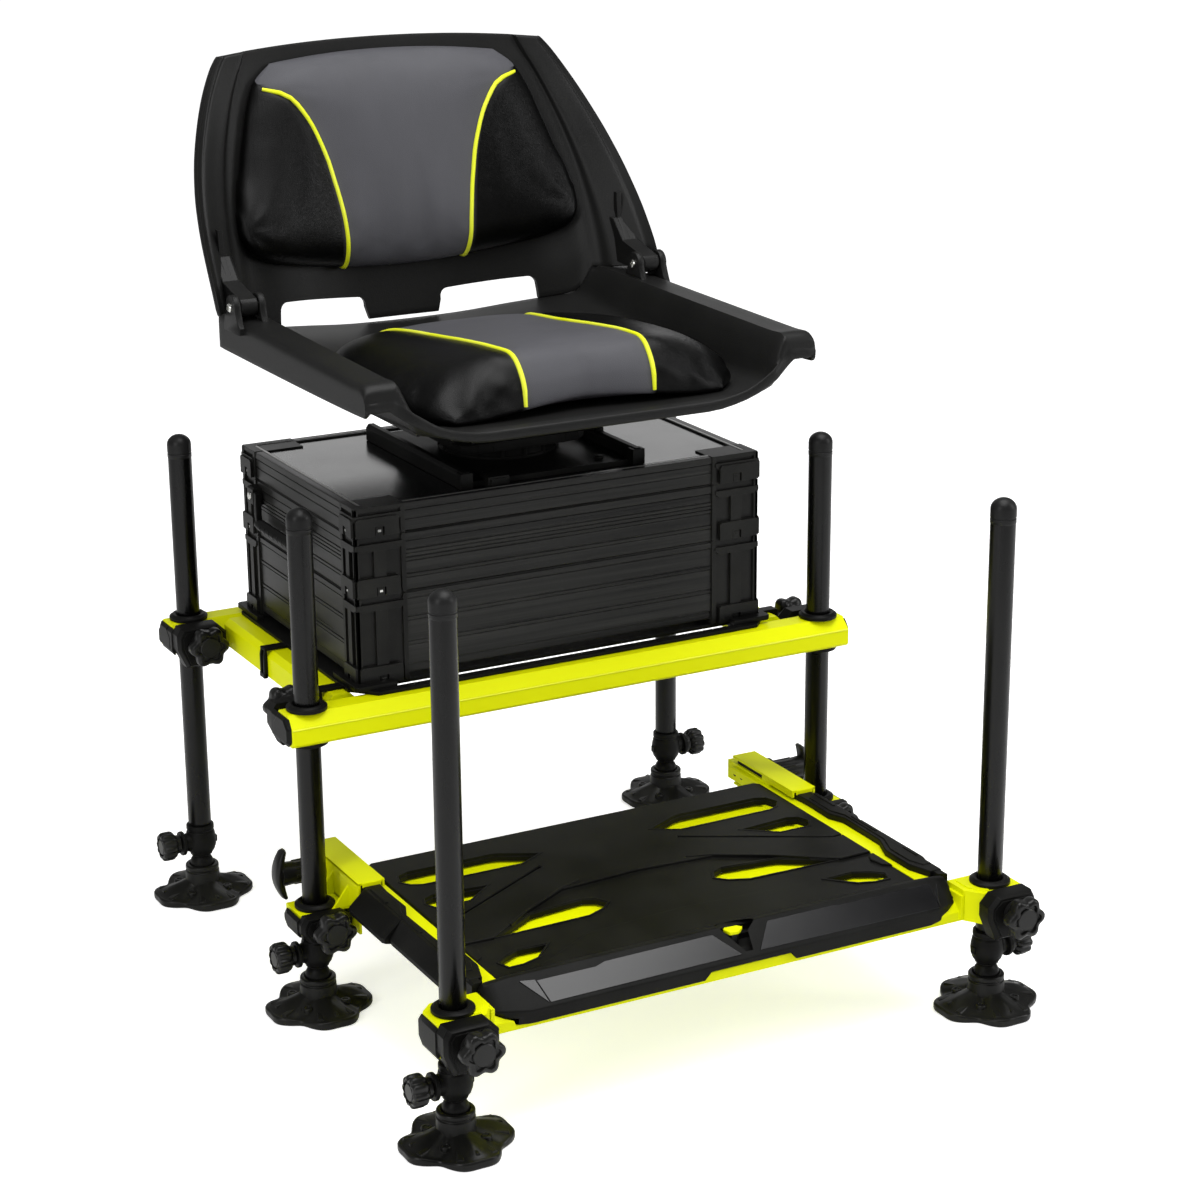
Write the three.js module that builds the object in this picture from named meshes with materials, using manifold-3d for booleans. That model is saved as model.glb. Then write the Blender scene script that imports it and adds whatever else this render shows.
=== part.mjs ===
// Fishing seat box: a swivelling folding seat on a stacked tackle box, carried by a frame on four
// telescopic legs, with a sliding footplate on two more. Millimetres, +Z up, the angler faces -Y.
import * as THREE from 'three';
import { mergeVertices } from 'three/addons/utils/BufferGeometryUtils.js';
import Module from 'manifold-3d';

const wasm = await Module();
wasm.setup();

// Driving sizes. The deck's half width also places the legs and everything between them.
const RUN_CLEARANCE = 0.3; // between pieces that slide or turn on each other
const OVERRUN = 1; // how far a cut runs past the face that it opens
const ROUND_SIDES = 16;
const BUSH_SIDES = 12;
const SMALL_SIDES = 10;
const STUD_SIDES = 8;
const LOBE_STEPS = 3;
const BALL_STEPS = 3;
const FOOT_SIDES = 24;
const BAR_STEPS = 4;
// How many columns from their sides inwards the pan's skirt and the back's raised rim take up
const RIM_COLUMNS = 2;
// Which column of a cushion, counted from its middle, the sewn seam follows
const SEAM_COLUMN = 3;

const DECK = { half: 234, rear: 18, top: 138, moulding: 22, ridge: 26, ridgeHeight: 120, lipBottom: 107,
  crest: 296, nose: 331, inner: 262, notchHalf: 60, notchTop: 113, windowHalf: 10, windowAt: 284, skin: 3,
  legReach: 63, blockStep: 28, memberInset: 20, strip: 6, railStep: 31, wingStep: 49, crestStep: 18 };
const LEG = { radius: 12.5, bore: 11, capLength: 14, foot: 69, sideOffset: DECK.half + DECK.legReach,
  frameTop: 528, plateTop: 534 };
const FRAME_DEPTH = 332; // from the front leg axes back to the rear leg axes
const PLATE_REACH = 324; // from the front leg axes forward to the footplate's leg axes

const RAIL = { bottom: 292, top: 323, half: 23, chamfer: 12, footChamfer: 3, wall: 2.5, endReach: 25 };
const SIDE_RAIL = { fromLeg: 32, width: 30, chamfer: 6 };
const SIDE_RAIL_OUTER = LEG.sideOffset - SIDE_RAIL.fromLeg;
const SIDE_RAIL_INNER = SIDE_RAIL_OUTER - SIDE_RAIL.width;

const BUSH = { radius: 16, flange: 20.5, flangeHeight: 5 };
const CLAMP = { halfWidth: 28, taper: 18, depth: 20, drop: 12, rise: 2, neckHalf: 14, neckInset: 4,
  plug: 2.5 };
const LOW_CLAMP = { depth: 13, drop: 6 };
const STUD = { radius: 4, length: 14 };
const CLAMP_KNOB = { radius: 22, length: 22, lobes: 8, lobeDepth: 3.2, gap: 2, hub: 15, hubLength: 5 };

const FOOT_BLOCK = { radius: 15, bottom: 47, top: 84, neck: 8.5, shoulder: 12.5, relief: 1.5 };
const BALL = { radius: 13, height: 37, socketGap: 0.6 };
const TILT = { stub: 9, stubReach: 24, flange: 13.5, flangeLength: 4, stud: 3, studReach: 42, height: 64 };
const TILT_KNOB = { radius: 16, start: 29, length: 18, lobes: 8, lobeDepth: 2 };
const MUD_FOOT = { radius: 55, lobes: 4, notch: 10, rim: 6, lip: 10, dish: 9, crown: 17, hub: 18.5,
  hubTop: 37, relief: 3 };

const TRAY = { halfWidth: 250, front: -2, rear: 344, corner: 30, thickness: 4, windowHalf: 196,
  windowFront: 52, windowRear: 286, clipWidth: 13, clipThickness: 3, clipDrop: 30, clipFront: 36,
  clipRear: 183 };

const BOX = { half: 232, front: 20, rear: 318, panelInset: 4, wall: 10, postWidth: 56, postDepth: 36,
  standOff: 6, floor: 4, plate: 1.5, rib: 2 };
const BASE_HEIGHT = 92;
const SHALLOW_HEIGHT = 62;
const LID = { height: 30, skin: 4, trim: 2, trimWidth: 5 };
const LID_HINGE = { offset: 150, half: 20, ear: 5, pin: 3, barrel: 6, leaf: 14 };
const PLATE_MARGIN = { side: 6, foot: 1, height: 19 };
const HANDLE = { heightShare: 0.758, middle: 212, half: 56, drop: 28, bar: 7, grip: 11, boss: 9,
  bossHalf: 8, pin: 3, gap: 0.6 };

const SWIVEL = { half: 105, front: 45, rear: 275, sheet: 6, bar: 12, barHeight: 14, ring: 62,
  ringHeight: 16, stem: 14, tabAt: 65, tabHalf: 12, tabReach: 10, tabHeight: 11 };
const TURNTABLE = { disc: 60, discHeight: 8, half: 92, depthHalf: 92, top: 566, gap: 0.5 };
const SWIVEL_Y = 168;

const PAN = { half: 250, innerArm: 215, wallFoot: 193, floorFront: 597, floorMiddle: 588, floorRear: 609,
  armTop: 651, armRise: 7, skin: 6, armSkin: 5, front: -66, armFront: -30, armFoot: -57, rear: 400,
  rearSide: 320, skirt: 40, edgeDrop: 4, lip: 10, lipRoll: 3, lipSide: 634, padHalf: 84, padFront: 92,
  padRear: 250, noseHalf: 170 };
const HINGE = { y: 269, z: 671, offset: 238, pin: 4, ear: 7, gap: 1, knuckle: 11, earRadius: 13,
  knuckleHalf: 9.5 };

const BACK = { half: 262, bottom: 614, sideBottom: 661, sideFoot: 664, sideCrest: 905, sideFront: 285,
  sideRear: 438, top: 915, skin: 6, rimRaise: 5, rimShare: 0.86, centreBottom: 401, lean: 0.165,
  slotInner: 46, slotOuter: 156, slotTop: 645 };

const PLATE = { railFront: 328, railRear: 298, railTop: 124, railChamfer: 12, blockTop: 135,
  blockBottom: 102, blockInner: DECK.half + DECK.blockStep, blockFront: 22, blockRear: 24,
  memberInner: DECK.half - DECK.memberInset, memberOuter: DECK.half + DECK.strip,
  memberTop: 130, stripTop: 136, memberBottom: 102, memberRear: 76, heelTop: 141, crossThickness: 4 };
const SLIDE_RAIL = { outer: DECK.half + DECK.railStep, bottom: 116, top: 142, wing: DECK.half + DECK.wingStep,
  wingTop: 127, wingBottom: 121, wingRear: 50, wingFront: 258, wingCrest: DECK.half + DECK.crestStep,
  crestTop: 144, step: 6, wall: 2, pocket: 30 };
const DECK_MOULDING = DECK.half + DECK.moulding;
const DECK_RIDGE = DECK.half + DECK.ridge;
const SLEEVE = { wall: 3, front: 45, rear: 80, lap: 0.6 };
const BRACKET = { top: 113, bottom: 92, half: 21, endReach: 23 };
const T_KNOB = { at: 52, stem: 12, reach: 44, bar: 54, thickness: 9, width: 17, bend: 7, washer: 16,
  washerLength: 4, tip: 3.5, tipGap: 0.6 };

const SEAT_CUSHION = { front: -46, rear: 288, half: 190, height: 68, dent: 10, edge: 9, endPower: 14,
  tuck: 5, seam: 76, seamDepth: 4, seamWidth: 6, gap: 1 };
const BACK_CUSHION = { bottom: 690, top: 896, half: 204, height: 36, sag: 20, arch: 9, edge: 7,
  endPower: 10, tuck: 5, seamDepth: 4, seamWidth: 6, gap: 1.6 };

// Colours and finishes, read from the photograph
const LIME = { color: 0xd7e51a, roughness: 0.38, metalness: 0.1 };
const BLACK_METAL = { color: 0x1c1c1d, roughness: 0.35, metalness: 0.6 };
const BLACK_PLASTIC = { color: 0x141415, roughness: 0.6, metalness: 0 };
const SHELL_PLASTIC = { color: 0x232324, roughness: 0.55, metalness: 0 };
const CUSHION_VINYL = { color: 0x2d2d30, roughness: 0.45, metalness: 0 };

const assembly = new THREE.Group();

// A three.js geometry as a solid that can be joined and cut
function solidOf(geometry) {
  const bare = geometry.clone();
  bare.deleteAttribute('normal');
  bare.deleteAttribute('uv');
  const merged = mergeVertices(bare);
  return new wasm.Manifold(new wasm.Mesh({
    numProp: 3,
    vertProperties: new Float32Array(merged.attributes.position.array),
    triVerts: new Uint32Array(merged.index.array),
  }));
}

function geometryOf(solid) {
  const mesh = solid.getMesh();
  const geometry = new THREE.BufferGeometry();
  const positions = new Float32Array(mesh.vertProperties);
  geometry.setAttribute('position', new THREE.BufferAttribute(positions, mesh.numProp));
  geometry.setIndex(new THREE.BufferAttribute(new Uint32Array(mesh.triVerts), 1));
  return geometry;
}

function turnedInsideOut(geometry) {
  const index = geometry.index.array;
  for (let k = 0; k < index.length; k += 3) {
    const kept = index[k + 1];
    index[k + 1] = index[k + 2];
    index[k + 2] = kept;
  }
}

// The mirror image across the planes x = 0 and y = 0 where a sign is -1
function mirrored(geometry, signX, signY = 1) {
  const copy = geometry.clone();
  copy.scale(signX, signY, 1);
  if (signX * signY < 0) {
    turnedInsideOut(copy);
  }
  return copy;
}

function addPart(name, geometry, look, place = [0, 0, 0]) {
  const faces = geometry.toNonIndexed();
  faces.computeVertexNormals();
  const mesh = new THREE.Mesh(faces, new THREE.MeshStandardMaterial(look));
  mesh.name = name;
  mesh.position.set(...place);
  assembly.add(mesh);
}

function block(x, y, z) {
  const geometry = new THREE.BoxGeometry(x[1] - x[0], y[1] - y[0], z[1] - z[0]);
  geometry.translate((x[0] + x[1]) / 2, (y[0] + y[1]) / 2, (z[0] + z[1]) / 2);
  return solidOf(geometry);
}

// A straight prism: points are (y, z) along x, (x, z) along y and (x, y) along z
function prism(axis, points, from, to, holes = []) {
  const shape = new THREE.Shape(points.map(([u, v]) => new THREE.Vector2(u, v)));
  for (const hole of holes) {
    shape.holes.push(new THREE.Path(hole.map(([u, v]) => new THREE.Vector2(u, v))));
  }
  const geometry = new THREE.ExtrudeGeometry(shape, { depth: to - from, bevelEnabled: false });
  if (axis === 'x') {
    geometry.applyMatrix4(new THREE.Matrix4().set(0, 0, 1, from, 1, 0, 0, 0, 0, 1, 0, 0, 0, 0, 0, 1));
  } else if (axis === 'y') {
    geometry.rotateX(Math.PI / 2);
    geometry.translate(0, to, 0);
  } else {
    geometry.translate(0, 0, from);
  }
  return solidOf(geometry);
}

// A round bar along an axis, its middle line through the point at
function rod(axis, radius, at, from, to, sides = SMALL_SIDES) {
  const geometry = new THREE.CylinderGeometry(radius, radius, to - from, sides);
  const middle = (from + to) / 2;
  if (axis === 'x') {
    geometry.rotateZ(Math.PI / 2);
    geometry.translate(middle, at[0], at[1]);
  } else if (axis === 'y') {
    geometry.translate(at[0], middle, at[1]);
  } else {
    geometry.rotateX(Math.PI / 2);
    geometry.translate(at[0], at[1], middle);
  }
  return solidOf(geometry);
}

// How wide a faceted bore is, so that its flats clear a pin that turns in it
function boreRound(pin, sides = STUD_SIDES) {
  return (pin + RUN_CLEARANCE) / Math.cos(Math.PI / sides);
}

// A solid turned about z, from [radius, height] points that start and end on the axis
function turned(profile, sides = ROUND_SIDES) {
  const geometry = new THREE.LatheGeometry(profile.map(([r, z]) => new THREE.Vector2(r, z)), sides);
  geometry.rotateX(Math.PI / 2);
  return solidOf(geometry);
}

// A closed skin between two facing grids of points
function skin(columns, rows, upper, lower) {
  const positions = [];
  for (const side of [upper, lower]) {
    for (let j = 0; j < rows; j += 1) {
      for (let i = 0; i < columns; i += 1) {
        positions.push(...side(i, j));
      }
    }
  }
  const count = columns * rows;
  const index = [];
  const quad = (a, b, c, d) => index.push(a, b, c, a, c, d);
  for (let j = 0; j + 1 < rows; j += 1) {
    for (let i = 0; i + 1 < columns; i += 1) {
      const a = j * columns + i;
      quad(a, a + 1, a + 1 + columns, a + columns);
      quad(count + a, count + a + columns, count + a + 1 + columns, count + a + 1);
    }
  }
  const last = (rows - 1) * columns;
  for (let i = 0; i + 1 < columns; i += 1) {
    quad(count + i, count + i + 1, i + 1, i);
    quad(last + i, last + i + 1, count + last + i + 1, count + last + i);
  }
  for (let j = 0; j + 1 < rows; j += 1) {
    const a = j * columns;
    const b = a + columns - 1;
    quad(a, a + columns, count + a + columns, count + a);
    quad(b + columns, b, count + b, count + b + columns);
  }
  const geometry = new THREE.BufferGeometry();
  geometry.setAttribute('position', new THREE.Float32BufferAttribute(positions, 3));
  geometry.setIndex(index);
  if (enclosedVolume(geometry) < 0) {
    turnedInsideOut(geometry);
  }
  return solidOf(geometry);
}

// How many columns a surface has whose columns are listed from its middle out to one side
function bothSides(columns) {
  return columns.length + columns.length - 1;
}

function enclosedVolume(geometry) {
  const points = geometry.attributes.position;
  const index = geometry.index.array;
  const corner = (k) => new THREE.Vector3().fromBufferAttribute(points, index[k]);
  let sum = 0;
  for (let k = 0; k < index.length; k += 3) {
    sum += corner(k).dot(corner(k + 1).cross(corner(k + 2)));
  }
  return sum / 6;
}

const mix = (a, b, share) => a + (b - a) * share;
const smooth = (share) => share * share * (3 - 2 * share);
const bounded = (value) => Math.min(1, Math.max(0, value));

function joined(solids) {
  return solids.reduce((whole, piece) => whole.add(piece));
}

// A grip with rounded lobes, turned on its axis along x, starting at x = from
function lobedKnob(size, from, bore, at) {
  const points = [];
  const steps = size.lobes * LOBE_STEPS;
  for (let k = 0; k < steps; k += 1) {
    const turn = (k / steps) * 2 * Math.PI;
    const radius = size.radius - size.lobeDepth * (0.5 - 0.5 * Math.cos(turn * size.lobes));
    points.push([at[0] + radius * Math.cos(turn), at[1] + radius * Math.sin(turn)]);
  }
  return prism('x', points, from, from + size.length).subtract(bore);
}

// Legs and feet. Each piece is built round a leg axis at the origin, outward is +x.
function legTube(top) {
  const shoulder = top - LEG.capLength;
  const domeStart = top - LEG.radius / 2;
  return turned([
    [0, shoulder],
    [LEG.bore, shoulder],
    [LEG.bore, LEG.foot],
    [LEG.radius, LEG.foot],
    [LEG.radius, domeStart],
    [LEG.radius * 0.72, mix(domeStart, top, 0.72)],
    [0, top],
  ]);
}

function ballProfile(radius, height, share) {
  const steps = BALL_STEPS;
  const points = [];
  for (let k = 0; k <= steps; k += 1) {
    const turn = mix(-Math.PI / 2, share, k / steps);
    points.push([k === 0 ? 0 : radius * Math.cos(turn), height + radius * Math.sin(turn)]);
  }
  return points;
}

function footBlock() {
  const neckTurn = Math.acos(FOOT_BLOCK.neck / BALL.radius);
  const body = turned([
    ...ballProfile(BALL.radius, BALL.height, neckTurn),
    [FOOT_BLOCK.shoulder, FOOT_BLOCK.bottom + FOOT_BLOCK.relief],
    [FOOT_BLOCK.radius, mix(FOOT_BLOCK.bottom, FOOT_BLOCK.top, 0.25)],
    [FOOT_BLOCK.radius, FOOT_BLOCK.top],
    [0, FOOT_BLOCK.top],
  ], BUSH_SIDES);
  const stub = rod('x', TILT.stub, [0, TILT.height], 0, TILT.stubReach);
  const flangeStart = TILT.stubReach - TILT.flangeLength;
  const flange = rod('x', TILT.flange, [0, TILT.height], flangeStart, TILT.stubReach);
  const stud = rod('x', TILT.stud, [0, TILT.height], 0, TILT.studReach, STUD_SIDES);
  const socket = rod('z', LEG.radius + RUN_CLEARANCE, [0, 0], LEG.foot - RUN_CLEARANCE,
    FOOT_BLOCK.top + OVERRUN, ROUND_SIDES);
  return joined([body, stub, flange, stud]).subtract(socket);
}

function tiltKnob() {
  const bore = rod('x', boreRound(TILT.stud), [0, TILT.height], TILT_KNOB.start - OVERRUN,
    TILT.studReach + RUN_CLEARANCE, STUD_SIDES);
  return lobedKnob(TILT_KNOB, TILT_KNOB.start, bore, [0, TILT.height]);
}

// A broad foot of four lobes with a raised lip, gripping the ball from below
function mudFoot() {
  const around = FOOT_SIDES;
  const shares = [0, 0.56, 0.86, 1];
  const heights = [MUD_FOOT.crown, MUD_FOOT.dish, MUD_FOOT.lip, MUD_FOOT.rim];
  const edge = (i) => {
    const turn = (i / around) * 2 * Math.PI;
    const valley = Math.pow(Math.abs(Math.sin((turn * MUD_FOOT.lobes) / 2)), 6);
    return { turn, radius: MUD_FOOT.radius - MUD_FOOT.notch * valley, dip: MUD_FOOT.relief * valley };
  };
  const positions = [0, 0, MUD_FOOT.crown, 0, 0, 0];
  for (let j = 1; j < shares.length; j += 1) {
    for (let i = 0; i < around; i += 1) {
      const { turn, radius, dip } = edge(i);
      const reach = radius * shares[j];
      positions.push(reach * Math.cos(turn), reach * Math.sin(turn), heights[j] - dip * shares[j]);
    }
  }
  for (let i = 0; i < around; i += 1) {
    const { turn, radius } = edge(i);
    const reach = radius - MUD_FOOT.relief;
    positions.push(reach * Math.cos(turn), reach * Math.sin(turn), 0);
  }
  const ring = (j, i) => 2 + (j - 1) * around + (i % around);
  const index = [];
  for (let i = 0; i < around; i += 1) {
    index.push(0, ring(1, i), ring(1, i + 1));
    for (let j = 1; j < shares.length; j += 1) {
      index.push(ring(j, i), ring(j + 1, i), ring(j + 1, i + 1));
      index.push(ring(j, i), ring(j + 1, i + 1), ring(j, i + 1));
    }
    index.push(1, ring(shares.length, i + 1), ring(shares.length, i));
  }
  const geometry = new THREE.BufferGeometry();
  geometry.setAttribute('position', new THREE.Float32BufferAttribute(positions, 3));
  geometry.setIndex(index);
  const hub = rod('z', MUD_FOOT.hub, [0, 0], MUD_FOOT.rim, MUD_FOOT.hubTop, BUSH_SIDES);
  const ball = turned([
    ...ballProfile(BALL.radius + BALL.socketGap, BALL.height, 0),
    [BALL.radius + BALL.socketGap, BALL.height + OVERRUN],
    [0, BALL.height + OVERRUN],
  ], BUSH_SIDES);
  return solidOf(geometry).add(hub).subtract(ball);
}

// A moulded clamp: a bush through the rail, a neck through the rail's side and a block with a stud
// for the knob. Outward is +x and the knob points to -y.
function legClamp(bottom, top, half, endReach, shape) {
  const middle = (bottom + top) / 2;
  const face = -half - shape.depth;
  const foot = bottom - BUSH.flangeHeight;
  const bush = rod('z', BUSH.radius, [0, 0], foot, top + BUSH.flangeHeight, BUSH_SIDES);
  const upper = rod('z', BUSH.flange, [0, 0], top, top + BUSH.flangeHeight, ROUND_SIDES);
  const lower = rod('z', BUSH.flange, [0, 0], foot, bottom, ROUND_SIDES);
  const neck = block([-CLAMP.neckHalf, CLAMP.neckHalf], [-half - OVERRUN, 0],
    [bottom + CLAMP.neckInset, top - CLAMP.neckInset]);
  const head = prism('y', [
    [-CLAMP.halfWidth, mix(bottom, top, 0.35)],
    [-CLAMP.taper, bottom - shape.drop],
    [CLAMP.taper, bottom - shape.drop],
    [endReach + CLAMP.plug, mix(bottom, top, 0.3)],
    [endReach + CLAMP.plug, top - CLAMP.rise * 3],
    [endReach - CLAMP.rise, top + CLAMP.rise],
    [-CLAMP.taper, top + CLAMP.rise],
    [-CLAMP.halfWidth, mix(bottom, top, 0.75)],
  ], face, -half);
  const plug = block([endReach, endReach + CLAMP.plug], [-half - OVERRUN, half - RAIL.chamfer],
    [mix(bottom, top, 0.1), mix(bottom, top, 0.6)]);
  const stud = rod('y', STUD.radius, [0, middle], face - STUD.length, face + OVERRUN, STUD_SIDES);
  const bore = rod('z', LEG.radius + RUN_CLEARANCE, [0, 0], foot - OVERRUN,
    top + BUSH.flangeHeight + OVERRUN, ROUND_SIDES);
  return joined([bush, upper, lower, neck, head, plug, stud]).subtract(bore);
}

function clampKnob(height) {
  const hubEnd = CLAMP_KNOB.hubLength;
  const bore = rod('x', boreRound(STUD.radius), [0, 0], -OVERRUN, STUD.length + RUN_CLEARANCE, STUD_SIDES);
  const grip = lobedKnob({ ...CLAMP_KNOB, length: CLAMP_KNOB.length - hubEnd }, hubEnd, bore, [0, 0]);
  const hub = rod('x', CLAMP_KNOB.hub, [0, 0], 0, hubEnd + OVERRUN, STUD_SIDES).subtract(bore);
  const geometry = geometryOf(grip.add(hub));
  geometry.rotateZ(-Math.PI / 2);
  geometry.translate(0, 0, height);
  return geometry;
}

// Cuts that let a clamp through a rail, around a leg axis at x, y with the neck towards signY
function clampCut(x, y, signY, bottom, top, half) {
  const hole = rod('z', BUSH.radius + RUN_CLEARANCE, [x, y], bottom - OVERRUN, top + OVERRUN, BUSH_SIDES);
  const reach = [y, y + signY * (half + OVERRUN)].sort((a, b) => a - b);
  const slotHalf = CLAMP.neckHalf + RUN_CLEARANCE;
  const slotInset = CLAMP.neckInset - RUN_CLEARANCE;
  return hole.add(block([x - slotHalf, x + slotHalf], reach, [bottom + slotInset, top - slotInset]));
}

const railMiddle = (RAIL.bottom + RAIL.top) / 2;
const plateMiddle = (PLATE.blockBottom + PLATE.blockTop) / 2;
const bracketMiddle = (BRACKET.bottom + BRACKET.top) / 2;

const LEG_PLACES = [
  { name: 'front_left', side: -1, knob: 1, y: 0, top: LEG.frameTop },
  { name: 'front_right', side: 1, knob: 1, y: 0, top: LEG.frameTop },
  { name: 'rear_left', side: -1, knob: -1, y: FRAME_DEPTH, top: LEG.frameTop },
  { name: 'rear_right', side: 1, knob: -1, y: FRAME_DEPTH, top: LEG.frameTop },
  { name: 'plate_left', side: -1, knob: -1, y: -PLATE_REACH, top: LEG.plateTop },
  { name: 'plate_right', side: 1, knob: -1, y: -PLATE_REACH, top: LEG.plateTop },
];

function addLegs() {
  const footSolid = geometryOf(footBlock());
  const foot = geometryOf(mudFoot());
  const tilt = geometryOf(tiltKnob());
  const railClamp = geometryOf(legClamp(RAIL.bottom, RAIL.top, RAIL.half, RAIL.endReach, CLAMP));
  const plateClamp = geometryOf(legClamp(PLATE.blockBottom, PLATE.blockTop, PLATE.blockFront,
    RAIL.endReach, CLAMP));
  const knobStart = CLAMP.depth + CLAMP_KNOB.gap;
  for (const leg of LEG_PLACES) {
    const onPlate = leg.top === LEG.plateTop;
    const place = [leg.side * LEG.sideOffset, leg.y, 0];
    const half = onPlate ? PLATE.blockFront : RAIL.half;
    const knob = clampKnob(onPlate ? plateMiddle : railMiddle);
    knob.translate(0, -half - knobStart, 0);
    addPart('leg_' + leg.name, geometryOf(legTube(leg.top)), BLACK_METAL, place);
    addPart('foot_block_' + leg.name, mirrored(footSolid, leg.side), BLACK_PLASTIC, place);
    addPart('mud_foot_' + leg.name, foot, BLACK_PLASTIC, place);
    addPart('foot_knob_' + leg.name, mirrored(tilt, leg.side), BLACK_PLASTIC, place);
    addPart('leg_clamp_' + leg.name, mirrored(onPlate ? plateClamp : railClamp, leg.side, -leg.knob),
      BLACK_PLASTIC, place);
    addPart('clamp_knob_' + leg.name, mirrored(knob, leg.side, -leg.knob), BLACK_PLASTIC, place);
  }
}

// The welded frame: a front and a rear rail with two side rails. Sections are (along, height).
function railSection(half, bottom, top, chamfer, foot) {
  return [
    [-half + foot, bottom],
    [half - foot, bottom],
    [half, bottom + foot],
    [half, top - chamfer],
    [half - chamfer, top],
    [-half + chamfer, top],
    [-half, top - chamfer],
    [-half, bottom + foot],
  ];
}

function crossRail(y, signY) {
  const end = LEG.sideOffset + RAIL.endReach;
  const section = (inset) => railSection(RAIL.half - inset, RAIL.bottom + inset, RAIL.top - inset,
    RAIL.chamfer - inset / 2, RAIL.footChamfer - inset / 2).map(([u, v]) => [u + y, v]);
  let rail = prism('x', section(0), -end, end);
  rail = rail.subtract(prism('x', section(RAIL.wall), -end - OVERRUN, end + OVERRUN));
  for (const side of [-1, 1]) {
    rail = rail.subtract(clampCut(side * LEG.sideOffset, y, signY, RAIL.bottom, RAIL.top, RAIL.half));
  }
  return rail;
}

function sideRail(side, bore) {
  const inset = bore ? RAIL.wall : 0;
  const half = (SIDE_RAIL_OUTER - SIDE_RAIL_INNER) / 2 - inset;
  const middle = side * (SIDE_RAIL_OUTER + SIDE_RAIL_INNER) / 2;
  const section = railSection(half, RAIL.bottom + inset, RAIL.top - inset, SIDE_RAIL.chamfer - inset / 2,
    RAIL.footChamfer - inset / 2).map(([u, v]) => [u + middle, v]);
  const reach = bore ? RAIL.wall + OVERRUN : OVERRUN;
  return prism('y', section, RAIL.half - reach, FRAME_DEPTH - RAIL.half + reach);
}

function weldedFrame() {
  let frame = crossRail(FRAME_DEPTH, -1).add(crossRail(0, 1));
  for (const side of [-1, 1]) {
    frame = frame.add(sideRail(side, false)).subtract(sideRail(side, true));
  }
  return frame;
}

// The open tray on the rails that the box stands in, with clips down round the side rails
function boxTray() {
  const { halfWidth, front, rear, corner } = TRAY;
  const outline = [
    [-halfWidth + corner, front], [halfWidth - corner, front], [halfWidth, front + corner],
    [halfWidth, rear - corner], [halfWidth - corner, rear], [-halfWidth + corner, rear],
    [-halfWidth, rear - corner], [-halfWidth, front + corner],
  ];
  const window = [
    [-TRAY.windowHalf, TRAY.windowFront], [-TRAY.windowHalf, TRAY.windowRear],
    [TRAY.windowHalf, TRAY.windowRear], [TRAY.windowHalf, TRAY.windowFront],
  ];
  const level = RAIL.top;
  let tray = prism('z', outline, level, level + TRAY.thickness, [window]);
  const inner = SIDE_RAIL_OUTER + RUN_CLEARANCE;
  for (const side of [-1, 1]) {
    for (const start of [TRAY.clipFront, TRAY.clipRear]) {
      const y = [start, start + TRAY.clipWidth];
      const across = (a, b) => (side > 0 ? [a, b] : [-b, -a]);
      const outer = inner + TRAY.clipThickness;
      const clipTop = level + TRAY.clipThickness;
      tray = tray.add(block(across(halfWidth - corner, outer), y, [level, clipTop]));
      tray = tray.add(block(across(inner, outer), y, [level - TRAY.clipDrop, clipTop]));
    }
  }
  return tray;
}

// The box: two stacked modules and a lid, each with four corner posts
const baseFoot = RAIL.top + TRAY.thickness;
const baseTop = baseFoot + BASE_HEIGHT;
const shallowTop = baseTop + SHALLOW_HEIGHT;
const lidTop = shallowTop + LID.height;
const handleLevel = mix(baseTop, shallowTop, HANDLE.heightShare);
const boxMiddle = (BOX.front + BOX.rear) / 2;
const boxHalfDepth = (BOX.rear - BOX.front) / 2;

function cornerPosts(bottom, top) {
  const posts = [];
  for (const sx of [-1, 1]) {
    for (const sy of [-1, 1]) {
      const span = (half, post, inset) => [half - post + inset, half - inset];
      const turnedOver = (range, sign) => (sign > 0 ? range : [-range[1], -range[0]]);
      const flip = (range, sign, centre) => turnedOver(range, sign).map((v) => v + centre);
      const x = flip(span(BOX.half, BOX.postWidth, 0), sx, 0);
      const y = flip(span(boxHalfDepth, BOX.postDepth, 0), sy, boxMiddle);
      posts.push(block(x, y, [bottom, top]));
      const plateFoot = bottom + PLATE_MARGIN.foot;
      const height = [plateFoot, plateFoot + PLATE_MARGIN.height];
      const plateX = flip(span(BOX.half, BOX.postWidth, PLATE_MARGIN.side), sx, 0);
      const plateY = flip(span(boxHalfDepth, BOX.postDepth, PLATE_MARGIN.side), sy, boxMiddle);
      const proud = [boxHalfDepth - OVERRUN, boxHalfDepth + BOX.plate];
      posts.push(block(plateX, flip(proud, sy, boxMiddle), height));
      posts.push(block(flip([BOX.half - OVERRUN, BOX.half + BOX.plate], sx, 0), plateY, height));
    }
  }
  return joined(posts);
}

// Horizontal ribs all round, given as shares of the panel's height
function ribs(bottom, top, shares) {
  const reach = BOX.half - BOX.panelInset + BOX.rib;
  const depth = boxHalfDepth - BOX.panelInset + BOX.rib;
  const bars = shares.map(([low, high]) => block([-reach, reach], [boxMiddle - depth, boxMiddle + depth],
    [mix(bottom, top, low), mix(bottom, top, high)]));
  return joined(bars);
}

function boxShell(bottom, top, ribShares) {
  const x = BOX.half - BOX.panelInset;
  const y = boxHalfDepth - BOX.panelInset;
  const body = block([-x, x], [boxMiddle - y, boxMiddle + y], [bottom, top]);
  return body.add(ribs(bottom, top, ribShares));
}

function boxHollow(bottom, top) {
  const x = BOX.half - BOX.panelInset - BOX.wall;
  const y = boxHalfDepth - BOX.panelInset - BOX.wall;
  return block([-x, x], [boxMiddle - y, boxMiddle + y], [bottom, top]);
}

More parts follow.
